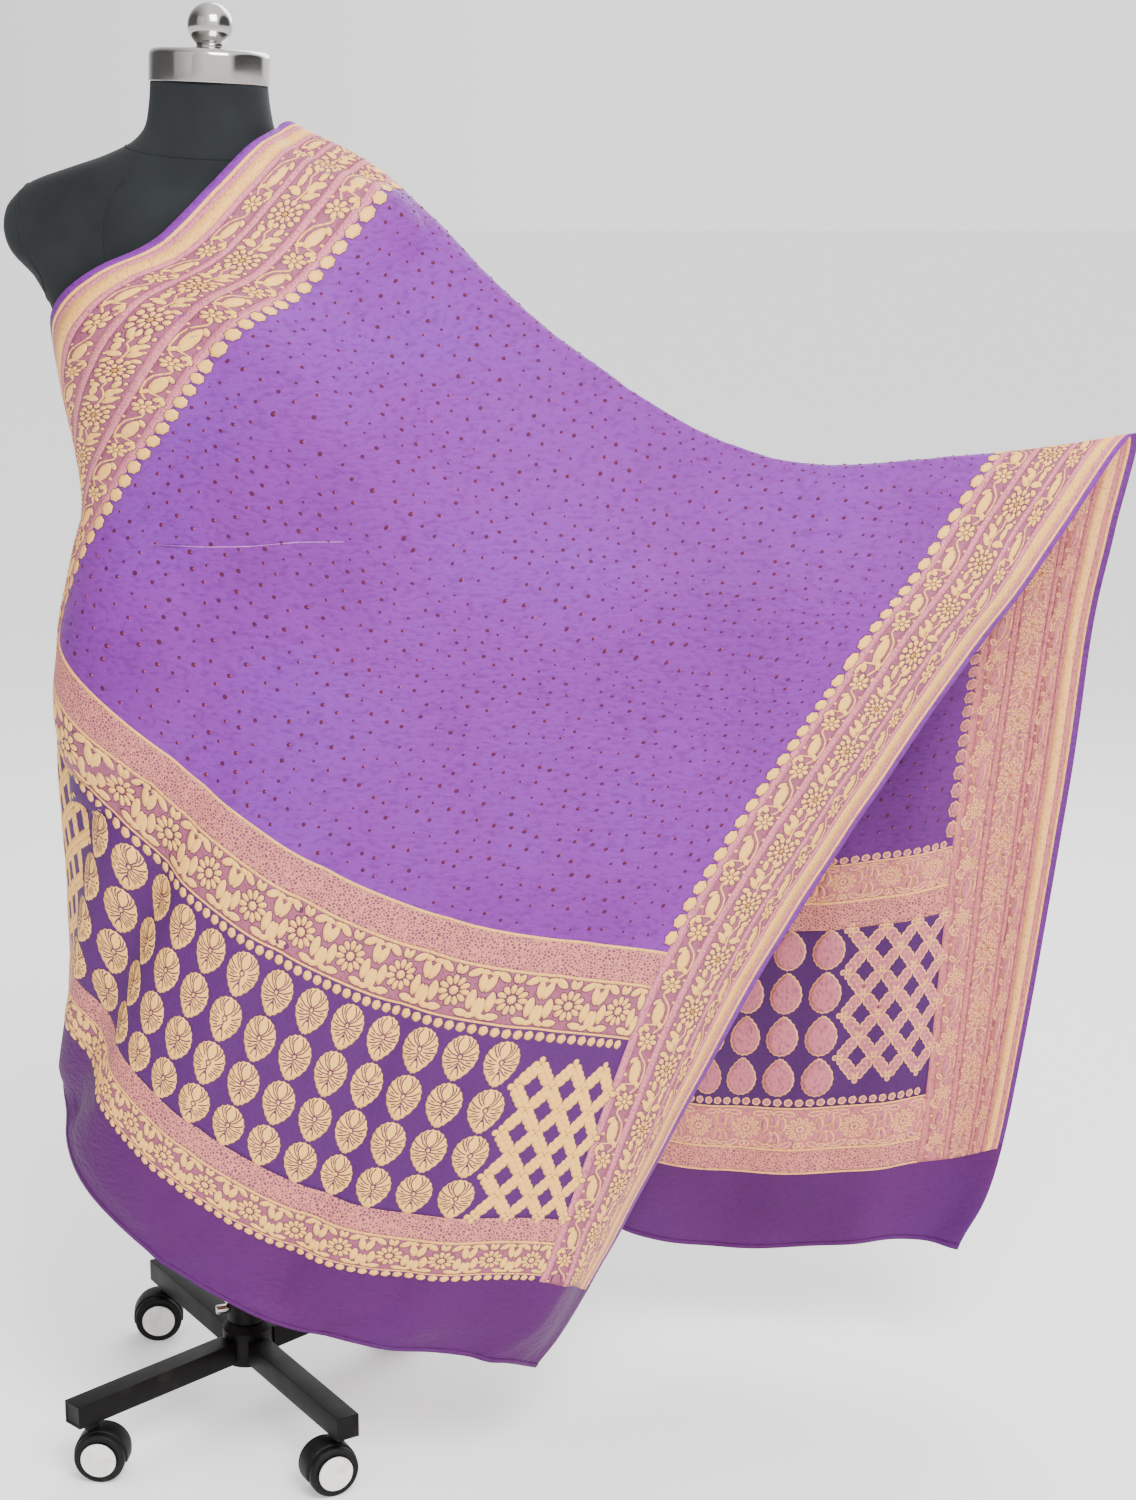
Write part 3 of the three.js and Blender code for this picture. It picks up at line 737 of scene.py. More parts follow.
# Strips of a border from its outer edge inward, in millimetres: finish, from, to, height
BORDER_STRIPS = [
    ("gold_cloth", 8, 12, 0.22), ("rose_strip", 12, 19, 0.16), ("gold_cloth", 19, 34, 0.24),
    ("rose_strip", 34, 41, 0.16), ("rose_ground", 41, 63, 0.12), ("rose_strip", 63, 70, 0.18),
    ("rose_ground", 70, 104, 0.12), ("rose_strip", 104, 111, 0.18), ("rose_ground", 111, 131, 0.12),
    ("rose_strip", 131, 139, 0.18),
]
VINE_REPEAT = 60.0
SMALL_VINE_MIDDLES = (52.0, 121.0)
SMALL_VINE_SHIFT = 0.4
MAIN_VINE_MIDDLE = 87.0
# Buds along the inner edge, and lines of knots along the strips, in millimetres
BUD_PITCH = 18.0
BUD_RADIUS = 7.3
BUD_MIDDLE = BORDER + 6.2
KNOT_LINES = [15.5, 37.5, 65.2, 67.8, 106.2, 108.8, 135.0]
KNOT_START = 2
KNOT_PITCH = 4.4
KNOT_RADIUS = 1.3
KNOT_CROWN = 0.7 * MM


def border_brocade(side, right):
    """All the floats of one long border on one face."""
    weave = Brocade(side, side > 0 or right)
    low, high = HEM_TO_PATTERN, PATTERN_END

    def across(station):
        return WIDTH - station if right else station

    for finish, start, end, height in BORDER_STRIPS:
        weave.strip(finish, *sorted((across(start), across(end))), low, high, height * MM)
    flip = -1 if right else 1
    repeats = np.arange(low - VINE_REPEAT / 2, high + VINE_REPEAT, VINE_REPEAT)
    for number, middle in enumerate(SMALL_VINE_MIDDLES):
        shift = VINE_REPEAT * SMALL_VINE_SHIFT * number
        lay(weave, small_vine(), [(across(middle), v + shift) for v in repeats], flip, limits=(low, high))
    lay(weave, main_vine(), [(across(MAIN_VINE_MIDDLE), v) for v in repeats], flip, limits=(low, high))
    buds = np.arange(low + BUD_PITCH / 2, high, BUD_PITCH)
    inner = buds[(buds > PANEL) & (buds < FIELD_END)]
    bud = floats([disc(BUD_RADIUS, sides=14, lobes=0.08)])
    lay(weave, bud, [(across(BUD_MIDDLE), v) for v in inner], flip)
    for station in KNOT_LINES if weave.seen else []:
        start = low + KNOT_START + (KNOT_PITCH / 2) * (station % 2 > 1)
        places = [(across(station), v) for v in np.arange(start, high, KNOT_PITCH)]
        weave.cones("gold", np.array(places)[:, None] + disc(KNOT_RADIUS, sides=4), KNOT_CROWN)
    return weave


# Bands of an end panel, in millimetres: room beside the borders, then stations along the cloth from its hem
PANEL_INSET = 2
PANEL_BUDS = (99.0, 364.0)
PANEL_BUD_ENDS = (4, 2)
PANEL_BUD_PITCH = 11.0
PANEL_BUD_RADIUS = 4.4
PANEL_FLORAL = ((106, 150), (372, 424))
PANEL_MESH = ((153, 182), (427, 463))
PANEL_LINES = ((104, 106), (150, 153), (370, 372), (424, 427), (463, 466))
# Heights of the bands off the cloth's face
ROSE_HEIGHT = 0.12 * MM
MESH_HEIGHT = 0.3 * MM
LINE_HEIGHT = 0.4 * MM
DEEP_HEIGHT = 0.08 * MM
# Drops and lattice between the bands, in millimetres
BLOOM_LENGTH = 44.0
BLOOM_HEIGHT = 40.0
DROP_FIELD = (182, 370)
DROP_ROWS = 4
DROP_PITCH = (40.5, 44.5)
FIRST_DROP = 23.0
LATTICE_WIDTH = 112.0
LATTICE_ROOM = 17.0
LATTICE_STEP = (18.0, 22.0)
LATTICE_LEAVES = (0.2, 0.42, 0.64)
LATTICE_ENDS = (2, -12)
LEAF_SPREAD = 0.60


def lattice_brocade(weave, edge, way_in, low_v, high_v):
    """Diagonal lattice of leaf pairs from the border inward, with a small flower at each crossing."""
    step_u, step_v = LATTICE_STEP
    columns = int(LATTICE_WIDTH / step_u) + 1
    rows = int((high_v - low_v) / step_v) + 1
    crossings = []
    leaves = {1: [], -1: []}
    for i in range(columns):
        for j in range(i % 2, rows, 2):
            u, v = edge + way_in * i * step_u, low_v + j * step_v
            crossings.append((u, v))
            for way in (1, -1):
                if 0 <= i + way < columns and j + 1 < rows:
                    leaves[way] += [(u + way_in * way * step_u * t, v + step_v * t) for t in LATTICE_LEAVES]
    flower = floats([petal(turn, 0.4, 8.0, 3.2) for turn in around(4)])
    lay(weave, flower, crossings)
    for way, places in leaves.items():
        lean = math.atan2(step_v, way_in * way * step_u)
        pair = floats([leaf(lean + turn, -1.5, 10.4, 3.8, sides=8) for turn in (LEAF_SPREAD, -LEAF_SPREAD)])
        lay(weave, pair, places)


def panel_brocade(side, shift):
    """All the floats of one end panel on one face."""
    weave = Brocade(side, side > 0 or shift > 0)
    low_u, high_u = BORDER + PANEL_INSET, WIDTH - BORDER - PANEL_INSET

    def band(finish, low, high, height):
        weave.strip(finish, low_u, high_u, low + shift, high + shift, height)

    for low, high in PANEL_FLORAL:
        band("rose_ground", low, high, ROSE_HEIGHT)
        middle = (low + high) / 2
        scale = (high - low) / BLOOM_HEIGHT
        pitch = BLOOM_LENGTH * scale
        places = [(u, middle + shift) for u in even(low_u + pitch / 2, high_u - pitch / 2, pitch)]
        lay(weave, panel_bloom(), places, scale=scale)
    for low, high in PANEL_MESH:
        band("mesh_brocade", low, high, MESH_HEIGHT)
    for low, high in PANEL_LINES:
        band("gold_cloth", low, high, LINE_HEIGHT)
    bud = floats([disc(PANEL_BUD_RADIUS, sides=10, lobes=0.05)])
    bud_places = np.arange(low_u + PANEL_BUD_ENDS[0], high_u - PANEL_BUD_ENDS[1], PANEL_BUD_PITCH)
    for station in PANEL_BUDS:
        lay(weave, bud, [(u, station + shift) for u in bud_places])
    band("violet_deep", *DROP_FIELD, DEEP_HEIGHT)
    drops = []
    inset = LATTICE_WIDTH + LATTICE_ROOM
    for row in range(DROP_ROWS):
        v = DROP_FIELD[0] + FIRST_DROP + row * DROP_PITCH[1]
        drops += [(u, v + shift) for u in even(low_u + inset, high_u - inset, DROP_PITCH[0])]
    lay(weave, drop_motif(), drops)
    low_v, high_v = (DROP_FIELD[i] + LATTICE_ENDS[i] + shift for i in (0, 1))
    for edge, way_in in ((low_u, 1), (high_u, -1)):
        lattice_brocade(weave, edge, way_in, low_v, high_v)
    return weave


# Materials

def cloth_sizes():
    """The sizes that a user can change."""
    return bpy.context.scene.cloth_sizes


def cloth_colours():
    """The colours that a user can change."""
    return bpy.context.scene.cloth_colours


class Tree:
    """Short calls for building one node tree."""

    def __init__(self, tree):
        self.tree = tree

    def fill(self, node, inputs):
        """Sets each named input of a node to a value, or links it to a socket."""
        for name, value in inputs.items():
            if isinstance(value, bpy.types.NodeSocket):
                self.tree.links.new(value, node.inputs[name])
            else:
                node.inputs[name].default_value = value

    def add(self, kind, inputs, **settings):
        """A new node with its settings and inputs."""
        node = self.tree.nodes.new(kind)
        for key, value in settings.items():
            setattr(node, key, value)
        self.fill(node, inputs)
        return node

    def ramp(self, factor, *stops):
        """A colour ramp from pairs of position and linear colour."""
        node = self.add("ShaderNodeValToRGB", {"Fac": factor})
        for place, colour in stops[2:]:
            node.color_ramp.elements.new(place)
        for element, (place, colour) in zip(node.color_ramp.elements, stops):
            element.position = place
            element.color = (*colour, 1)
        return node.outputs["Color"]


class Nodes(Tree):
    """Short calls for building one material."""

    def __init__(self, name, roughness, metallic=0.0, sheen=0.0, shine=0.5):
        self.material = bpy.data.materials.new(name)
        self.material.use_nodes = True
        super().__init__(self.material.node_tree)
        self.shade({"Roughness": roughness, "Metallic": metallic, "Sheen Weight": sheen,
                    "Specular IOR Level": shine})

    def shade(self, inputs):
        """Fills inputs of the shader."""
        self.fill(self.tree.nodes["Principled BSDF"], inputs)

    def coordinates(self, scale):
        """Object coordinates stretched by a scale along each axis."""
        place = self.add("ShaderNodeTexCoord", {}).outputs["Object"]
        return self.add("ShaderNodeMapping", {"Vector": place, "Scale": scale}).outputs["Vector"]

    def noise(self, scale, detail=3.0, stretch=(1, 1, 1)):
        """Soft noise from 0 to 1."""
        inputs = {"Vector": self.coordinates(stretch), "Scale": scale, "Detail": detail}
        return self.add("ShaderNodeTexNoise", inputs).outputs["Fac"]

    def cells(self, scale):
        """Distance to the nearest edge in a field of random cells."""
        inputs = {"Vector": self.coordinates((1, 1, 1)), "Scale": scale}
        return self.add("ShaderNodeTexVoronoi", inputs, feature="DISTANCE_TO_EDGE").outputs["Distance"]

    def multiply(self, first, second):
        """Product of two colours."""
        inputs = {"Factor": 1.0, "A": first, "B": second}
        return self.add("ShaderNodeMix", inputs, data_type="RGBA", blend_type="MULTIPLY").outputs["Result"]

    def colour(self, socket):
        """Links the base colour."""
        self.shade({"Base Color": socket})

    def bump(self, height, strength, distance):
        """Fine relief from a height."""
        inputs = {"Height": height, "Strength": strength, "Distance": distance}
        self.shade({"Normal": self.add("ShaderNodeBump", inputs).outputs["Normal"]})

    def vary_roughness(self, factor, low, high):
        """Roughness between two values."""
        inputs = {"Value": factor, "To Min": low, "To Max": high}
        self.shade({"Roughness": self.add("ShaderNodeMapRange", inputs).outputs["Result"]})


def tint(colour, factor):
    """A colour made lighter or darker."""
    return tuple(min(1.0, c * factor) for c in colour)


# Share of red, green and blue where the dye has turned bluer
BLUE_CAST = (0.96, 1.30, 1.16)


def dyed_cloth(name, colour, roughness, streaked=0.24):
    """Thin dyed weave with uneven colour and a fine crinkle."""
    nodes = Nodes(name, roughness, sheen=0.03, shine=0.22)
    clouds = nodes.ramp(nodes.noise(5.0, 4.0), (0.30, tint(colour, 0.84)), (0.52, colour),
                        (0.74, tuple(c * cast for c, cast in zip(colour, BLUE_CAST))))
    streaks = nodes.noise(110.0, 5.0, (1.0, 1.0, 2.1))
    grain = nodes.ramp(streaks, (0.32, (1 - streaked, 1 - 1.2 * streaked, 1 - streaked)),
                       (0.52, (1.0, 1.0, 1.0)))
    nodes.colour(nodes.multiply(clouds, grain))
    nodes.bump(streaks, 0.8, 0.0028)
    nodes.vary_roughness(nodes.noise(40.0), roughness - 0.08, roughness + 0.08)
    return nodes.material


def thread_colour(colour):
    """A linear colour from a property's name and a share of it, or from a display colour."""
    if isinstance(colour[0], str):
        return tint(getattr(cloth_colours(), colour[0]), colour[1])
    return linear(*colour)


def thread_weave(name, light, dark, scale, roughness):
    """Floats of bright thread with a fine grain."""
    nodes = Nodes(name, roughness, shine=0.3)
    grain = nodes.noise(scale, 3.0, (1.0, 1.0, 0.5))
    colour = thread_colour(light)
    nodes.colour(nodes.ramp(grain, (0.28, thread_colour(dark)), (0.50, colour), (0.78, tint(colour, 1.08))))
    nodes.bump(grain, 0.4, 0.0006)
    nodes.vary_roughness(nodes.noise(60.0), roughness - 0.08, roughness + 0.1)
    return nodes.material


def mesh_weave(name, light, dark):
    """Close brocade whose light floats wander between darker pits."""
    nodes = Nodes(name, 0.55, shine=0.3)
    cells = nodes.cells(320.0)
    colour = thread_colour(light)
    nodes.colour(nodes.ramp(cells, (0.03, colour), (0.11, colour), (0.20, thread_colour(dark))))
    nodes.bump(cells, 0.5, 0.0008)
    return nodes.material


def plain_end():
    """Smoother dyed weave of the plain ends."""
    return dyed_cloth("plain violet end", cloth_colours().plain_end, 0.6, 0.08)


# Thread finishes: material name, colour, dark grain, scale of the grain, roughness
THREAD_FINISHES = {
    "gold": ("gold floats", ("gold", 1.0), ("gold", 0.80), 900.0, 0.5),
    "gold_cloth": ("close gold weave", ("gold", 0.92), (214, 128, 92), 520.0, 0.48),
    "gold_back": ("gold floats reverse", (244, 178, 104), (190, 112, 82), 620.0, 0.5),
    "rose_strip": ("rose gold strip", ("rose_gold", 1.0), (156, 80, 112), 480.0, 0.55),
    "rose_ground": ("rose ground", ("rose_ground", 1.0), ("rose_ground", 0.66), 420.0, 0.62),
    "rose_back": ("rose floats reverse", (194, 106, 108), (132, 66, 88), 420.0, 0.58),
    "rose_fill_back": ("rose fills reverse", (190, 104, 116), (136, 68, 96), 420.0, 0.6),
    # Dark thread of the lines in the drops, also used as the painted shadow round the gold floats
    "contour": ("contour thread", ("contour", 1.0), ("contour", 0.8), 600.0, 0.65),
    "violet_deep": ("deep violet ground", ("violet_deep", 1.0), ("violet_deep", 0.8), 500.0, 0.62),
    "violet_deep_back": ("deep violet reverse", ("violet_deep", 0.8), ("violet_deep", 0.6), 500.0, 0.62),
    "tied_dot": ("tied dots", ("tied_dot", 1.0), ("tied_dot", 0.5), 700.0, 0.7),
    # Orange spot beside a tied dot: partly dye, partly a painted highlight on the raised dot
    "dye_and_highlight_spot": ("tied dot sparks", (196, 92, 70), (140, 40, 60), 700.0, 0.6),
    "pulled_thread": ("pulled thread", (186, 112, 200), (160, 84, 178), 500.0, 0.6),
}
# Mesh finishes: material name, colour of the floats, colour of the pits
MESH_FINISHES = {
    "mesh_brocade": ("mesh brocade", (214, 130, 112), (120, 56, 86)),
    "mesh_back": ("mesh brocade reverse", (210, 126, 106), (124, 60, 84)),
}


def jersey_cover():
    """Matt black knit."""
    nodes = Nodes("black jersey", 0.85, sheen=0.04, shine=0.15)
    colour = cloth_colours().jersey
    nodes.colour(nodes.ramp(nodes.noise(14.0, 3.0), (0.3, tint(colour, 0.8)), (0.7, tint(colour, 1.3))))
    nodes.bump(nodes.noise(900.0, 2.0, (1, 1, 0.3)), 0.25, 0.0008)
    return nodes.material


def bright_metal():
    """Polished plating with faint smears."""
    nodes = Nodes("polished plating", 0.12, 1.0)
    nodes.shade({"Base Color": (*linear(186, 183, 180), 1)})
    nodes.vary_roughness(nodes.noise(22.0, 5.0), 0.06, 0.2)
    return nodes.material


def black_paint():
    """Satin black paint, dusty in places."""
    nodes = Nodes("satin black paint", 0.42, shine=0.12)
    dust = nodes.noise(30.0, 6.0)
    nodes.colour(nodes.ramp(dust, (0.35, linear(9, 8, 8)), (0.62, linear(15, 13, 13)),
                            (0.80, linear(36, 31, 28))))
    nodes.bump(nodes.noise(420.0), 0.12, 0.0006)
    nodes.vary_roughness(dust, 0.32, 0.62)
    return nodes.material


def castor_black():
    """Moulded black plastic, scuffed where it rolls."""
    nodes = Nodes("moulded black plastic", 0.5, shine=0.18)
    scuffs = nodes.noise(70.0, 6.0)
    nodes.colour(nodes.ramp(scuffs, (0.35, linear(11, 11, 12)), (0.62, linear(18, 17, 17)),
                            (0.8, linear(48, 44, 40))))
    nodes.bump(nodes.noise(650.0), 0.15, 0.0005)
    nodes.vary_roughness(scuffs, 0.38, 0.7)
    return nodes.material


def castor_white():
    """Moulded white plastic with a little grime."""
    nodes = Nodes("moulded white plastic", 0.38)
    grime = nodes.noise(60.0, 5.0)
    nodes.colour(nodes.ramp(grime, (0.25, linear(200, 194, 184)), (0.45, linear(232, 230, 225)),
                            (0.8, linear(242, 241, 238))))
    nodes.vary_roughness(grime, 0.3, 0.5)
    return nodes.material


OTHER_FINISHES = {"plain_end": plain_end, "black_jersey": jersey_cover, "bright_metal": bright_metal,
                  "black_paint": black_paint, "castor_black": castor_black, "castor_white": castor_white}
MADE_MATERIALS = {}


def material_of(finish):
    """The material of a finish, made the first time it is asked for."""
    if finish not in MADE_MATERIALS:
        if finish in THREAD_FINISHES:
            made = thread_weave(*THREAD_FINISHES[finish])
        elif finish in MESH_FINISHES:
            made = mesh_weave(*MESH_FINISHES[finish])
        else:
            made = OTHER_FINISHES[finish]()
        MADE_MATERIALS[finish] = made
    return MADE_MATERIALS[finish]


# Form cover: its grid, and its seams in metres, turns and millimetres of height

COVER_SIDES = 84
COVER_STEPS = 90
SEAM_SIDES = 6
SEAM_RADIUS = 0.9 * MM
SEAM_POINTS = 96
ARM_SEAM = 0.52
ARM_SEAM_LEVELS = (1196, 1308)
PRINCESS_TURN = 1.13
PRINCESS_TOP = 1322
PRINCESS_POINTS = 90
NECK_SEAM_Z = 1349
NECK_SEAM_DIP = 9


def form_point(turn, z):
    """Points on the form by the turn round its axis and the height."""
    power = 2 / FORM_POWER
    place = np.interp(z, FORM_SECTIONS[:, 0], np.arange(len(FORM_SECTIONS)))
    depth = form_depth(np.sin(turn) < 0, place)
    x = spline(FORM_SECTIONS[:, 1], place) * np.sign(np.cos(turn)) * np.abs(np.cos(turn)) ** power
    y = depth * np.sign(np.sin(turn)) * np.abs(np.sin(turn)) ** power
    return np.stack([x, y, z - lean_at(z) * x], -1) * MM + AXIS


def form_skin():
    """Points and faces of the form's closed cover."""
    z = spline(FORM_SECTIONS[:, 0], np.linspace(0, len(FORM_SECTIONS) - 1, COVER_STEPS + 1))
    turn, level = np.meshgrid(around(COVER_SIDES), z)
    points = form_point(turn, level).reshape(-1, 3)
    number = np.arange(len(points)).reshape(turn.shape)
    beside = np.roll(number, -1, 1)
    sides = np.stack([number[:-1], beside[:-1], beside[1:], number[1:]], -1).reshape(-1, 4).tolist()
    return points, sides + [number[0, ::-1].tolist(), number[-1].tolist()]


def tube(path, radius, closed):
    """Points and faces of a thin round ridge along a path."""
    ahead = unit(np.roll(path, -1, 0) - np.roll(path, 1, 0)) if closed else unit(np.gradient(path, axis=0))
    out = unit((path - AXIS) * np.array([1, 1, 0]) + np.array([0, 0, 1e-4]))
    side = unit(np.cross(ahead, out))
    out = np.cross(side, ahead)
    turns = (np.arange(SEAM_SIDES) * 2 * math.pi / SEAM_SIDES)[:, None]
    rings = path[:, None] + radius * (np.cos(turns) * out[:, None] + np.sin(turns) * side[:, None])
    number = np.arange(len(path) * SEAM_SIDES).reshape(len(path), SEAM_SIDES)
    following = np.roll(number, -1, 0) if closed else number[1:]
    here = number if closed else number[:-1]
    quads = np.stack([here, np.roll(here, -1, 1), np.roll(following, -1, 1), following], -1)
    faces = quads.reshape(-1, 4).tolist()
    if not closed:
        faces += [number[0, ::-1].tolist(), number[-1].tolist()]
    return rings.reshape(-1, 3), faces


def seam_paths():
    """Sewn seams of the cover: round the neck and the arm holes, and down the front and back."""
    turns = around(SEAM_POINTS)
    paths = [(form_point(turns, NECK_SEAM_Z - NECK_SEAM_DIP * np.sin(turns) ** 2), True)]
    low, high = ARM_SEAM_LEVELS
    middle, tall = (low + high) / 2, (high - low) / 2
    for side in (1, -1):
        level = middle + tall * np.sin(turns)
        swing = ARM_SEAM * np.cos(turns)
        arm = (0.0 if side > 0 else math.pi) + swing
        paths.append((form_point(arm, level), True))
        rise = np.linspace(FORM_BOTTOM + 2, PRINCESS_TOP, PRINCESS_POINTS)
        for face in (1, -1):
            turn = face * PRINCESS_TURN if side > 0 else math.pi - face * PRINCESS_TURN
            paths.append((form_point(np.full_like(rise, turn), rise), False))
    return paths


# Rigid pieces

CAP_RADIUS = 59 * MM
CAP_HEIGHT = 32 * MM
CAP_SHOULDER = 7 * MM
CAP_FOOT_EDGE = 0.8 * MM
DISH_RIM = 14 * MM
DISH_DEPTH = 0.8 * MM
KNOB_RADIUS = 22 * MM
KNOB_HEIGHT = 45 * MM
KNOB_CUT = 0.80
# Neck of the knob: share of its height, width against the ring above
KNOB_RINGS = ((0.45, 0.93), (0.30, 1.02), (0.25, 1.12))
SEAT_GAP = 0.3 * MM
WHEEL_RADIUS = 26.6 * MM
WHEEL_WIDTH = 13 * MM
WHEEL_EDGE = 2.6 * MM
WHEEL_RIM = 3.2 * MM
WHEEL_RECESS = 0.9 * MM
DISC_RADIUS = 18.5 * MM
DISC_WIDTH = 2.5 * MM
DISC_EDGE = 1.1 * MM
DISC_RIM = 5 * MM
DISC_RISE = 0.25 * MM
HOOD_RADIUS = 28.4 * MM
HOOD_WIDTH = 22 * MM
HOOD_EDGE = 2.2 * MM
HOOD_DROP = 6 * MM
STEM_RADIUS = 5 * MM
SOCKET_RADIUS = STEM_RADIUS + 3 * MM
SOCKET_HEIGHT = 8 * MM
SOCKET_DROP = 6.5 * MM
COLLAR_RADIUS = 21 * MM
COLLAR_HEIGHT = 30 * MM
SCREW_RADIUS = 5 * MM
SCREW_LENGTH = 14 * MM
SCREW_SUNK = 1 * MM
SCREW_TURN = math.radians(-160)
LEG_WALL = 2.4 * MM
PLUG_GAP = 0.5 * MM
PLUG_DEPTH = 0.8 * MM
# Rounding of the edges
LEG_EDGE = 1.6 * MM
HUB_EDGE = 1.5 * MM
POLE_EDGE = 0.8 * MM
COLLAR_EDGE = 2 * MM
SCREW_EDGE = 1.5 * MM
SOCKET_EDGE = 1.2 * MM
STEM_EDGE = 0.6 * MM
# Edges sharper than the first angle are rounded, and those sharper than the second are shaded sharp
BEVEL_ANGLE = math.radians(40)
SMOOTH_ANGLE = math.radians(35)
LEGS = ("front_left", "front_right", "back_right", "back_left")


def show_alone(piece):
    """Selects one piece and nothing else."""
    bpy.ops.object.select_all(action="DESELECT")
    piece.select_set(True)
    bpy.context.view_layer.objects.active = piece


def choose(piece, kind, wanted):
    """Opens a piece with the edges or faces selected that are wanted."""
    show_alone(piece)
    bpy.ops.object.mode_set(mode="EDIT")
    bpy.ops.mesh.select_mode(type=kind)
    bpy.ops.mesh.select_all(action="DESELECT")
    close()
    for item in piece.data.polygons if kind == "FACE" else piece.data.edges:
        item.select = bool(wanted(item))
    bpy.ops.object.mode_set(mode="EDIT")


def close():
    """Leaves edit mode."""
    bpy.ops.object.mode_set(mode="OBJECT")


def fresh(name, add, **sizes):
    """A new piece from a primitive."""
    bpy.ops.object.select_all(action="DESELECT")
    add(**sizes)
    piece = bpy.context.active_object
    piece.name = name
    return piece


def drum(name, radius, depth, edge, steps=4, vertices=60, foot_edge=None):
    """A round bar along Z about the origin with rounded rims."""
    piece = fresh(name, bpy.ops.mesh.primitive_cylinder_add, vertices=vertices, radius=radius, depth=depth)
    round_rim(piece, depth / 2, edge, steps)
    round_rim(piece, -depth / 2, foot_edge or edge, steps)
    return piece


def round_rim(piece, height, edge, steps):
    """Rounds the rim at one height of a round bar."""

    def on_rim(edge):
        return all(abs(piece.data.vertices[i].co.z - height) < 1e-7 for i in edge.vertices)

    choose(piece, "EDGE", on_rim)
    bpy.ops.mesh.bevel(offset=edge, segments=steps, affect="EDGES")
    close()


def inset_ends(piece, rim, depth):
    """Insets both flat ends of a round bar."""
    choose(piece, "FACE", lambda face: abs(face.normal.z) > 0.999)
    bpy.ops.mesh.inset(thickness=rim, depth=depth)
    close()


def twin(master, name):
    """A copy of a modelled piece, with its own mesh."""
    piece = bpy.data.objects.new(name, master.data.copy())
    bpy.context.scene.collection.objects.link(piece)
    return piece


def put(piece, matrix):
    """Moves a piece to its place and leaves its object at the origin."""
    show_alone(piece)
    piece.matrix_world = matrix
    bpy.ops.object.transform_apply(location=True, rotation=True, scale=True)
    bpy.ops.object.shade_smooth_by_angle(angle=SMOOTH_ANGLE)


def spot(x, y, z):
    """The move from the origin to a point."""
    return Matrix.Translation(Vector((x, y, z)))


def done(piece, slot, *nodes):
    """Gives a piece its finish and its place in the frame."""
    piece.data.materials.clear()
    piece.data.materials.append(material_of(slot))
    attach(piece, "root")
    if nodes:
        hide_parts(*nodes)


def join(*pieces):
    """Joins pieces into the first of them."""
    show_alone(pieces[0])
    for piece in pieces:
        piece.select_set(True)
    bpy.ops.object.join()
    return pieces[0]


def cad_copy(node, name):
    """A merged copy of a CAD node as a new piece."""
    piece = twin(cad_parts[node], name)
    show_alone(piece)
    bpy.ops.mesh.customdata_custom_splitnormals_clear()
    bpy.ops.object.mode_set(mode="EDIT")
    bpy.ops.mesh.select_all(action="SELECT")
    bpy.ops.mesh.remove_doubles(threshold=1e-6)
    bpy.ops.mesh.tris_convert_to_quads()
    bpy.ops.mesh.normals_make_consistent(inside=False)
    close()
    return piece


def soften(piece, width):
    """Rounds a piece's sharp edges."""
    show_alone(piece)
    bevel = piece.modifiers.new("soft edges", "BEVEL")
    bevel.width = width
    bevel.segments = 3
    bevel.limit_method = "ANGLE"
    bevel.angle_limit = BEVEL_ANGLE
    bpy.ops.object.modifier_apply(modifier=bevel.name)
    bpy.ops.object.shade_smooth_by_angle(angle=SMOOTH_ANGLE)


def middle(node):
    """Middle of a CAD node's box."""
    low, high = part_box(node)
    return (low + high) / 2


def neck_matrix(height):
    """Place of a turned piece above the neck, leaning as the shoulders do."""
    foot = spot(AXIS[0], AXIS[1], NECK_TOP * MM + SEAT_GAP)
    return foot @ Matrix.Rotation(math.atan(LEAN), 4, "Y") @ spot(0, 0, height)


def make_knob():
    """Ball that tapers into a short neck and a flared foot."""
    knob = fresh("knob", bpy.ops.mesh.primitive_uv_sphere_add, segments=64, ring_count=32,
                 radius=KNOB_RADIUS)
    cut = -KNOB_CUT * KNOB_RADIUS
    choose(knob, "FACE", lambda face: face.center.z < cut)
    bpy.ops.mesh.delete(type="FACE")
    bpy.ops.mesh.select_mode(type="EDGE")
    bpy.ops.mesh.select_non_manifold()
    rest = KNOB_HEIGHT - KNOB_RADIUS - KNOB_CUT * KNOB_RADIUS
    for share, size in KNOB_RINGS:
        bpy.ops.mesh.extrude_region_move(TRANSFORM_OT_translate={"value": (0, 0, -rest * share)})
        bpy.ops.transform.resize(value=(size, size, 1), center_override=(0, 0, 0))
    bpy.ops.mesh.edge_face_add()
    close()
    put(knob, neck_matrix(CAP_HEIGHT + SEAT_GAP + KNOB_HEIGHT - KNOB_RADIUS))
    return knob


def make_cap():
    """Plated cap: straight side, rounded shoulder and a slightly dished top."""
    cap = drum("cap", CAP_RADIUS, CAP_HEIGHT, CAP_SHOULDER, 8, 128, CAP_FOOT_EDGE)
    choose(cap, "FACE", lambda face: face.normal.z > 0.999 and face.center.z > CAP_HEIGHT / 2 - 1e-5)
    bpy.ops.mesh.inset(thickness=DISH_RIM, depth=DISH_DEPTH)
    close()
    put(cap, neck_matrix(CAP_HEIGHT / 2))
    return cap


def make_leg(name):
    """Square tube with soft corners and a plug set into its outer end."""
    leg = cad_copy("leg_" + name, "tube_" + name)

    def reach(point):
        return math.hypot(point.x - AXIS[0], point.y - AXIS[1])

    end = max(reach(v.co) for v in leg.data.vertices) - 2 * MM
    choose(leg, "FACE", lambda face: abs(face.normal.z) < 0.01 and reach(face.center) > end)
    bpy.ops.mesh.inset(thickness=LEG_WALL, depth=0)
    bpy.ops.mesh.inset(thickness=PLUG_GAP, depth=-PLUG_DEPTH)
    close()
    soften(leg, LEG_EDGE)
    return leg


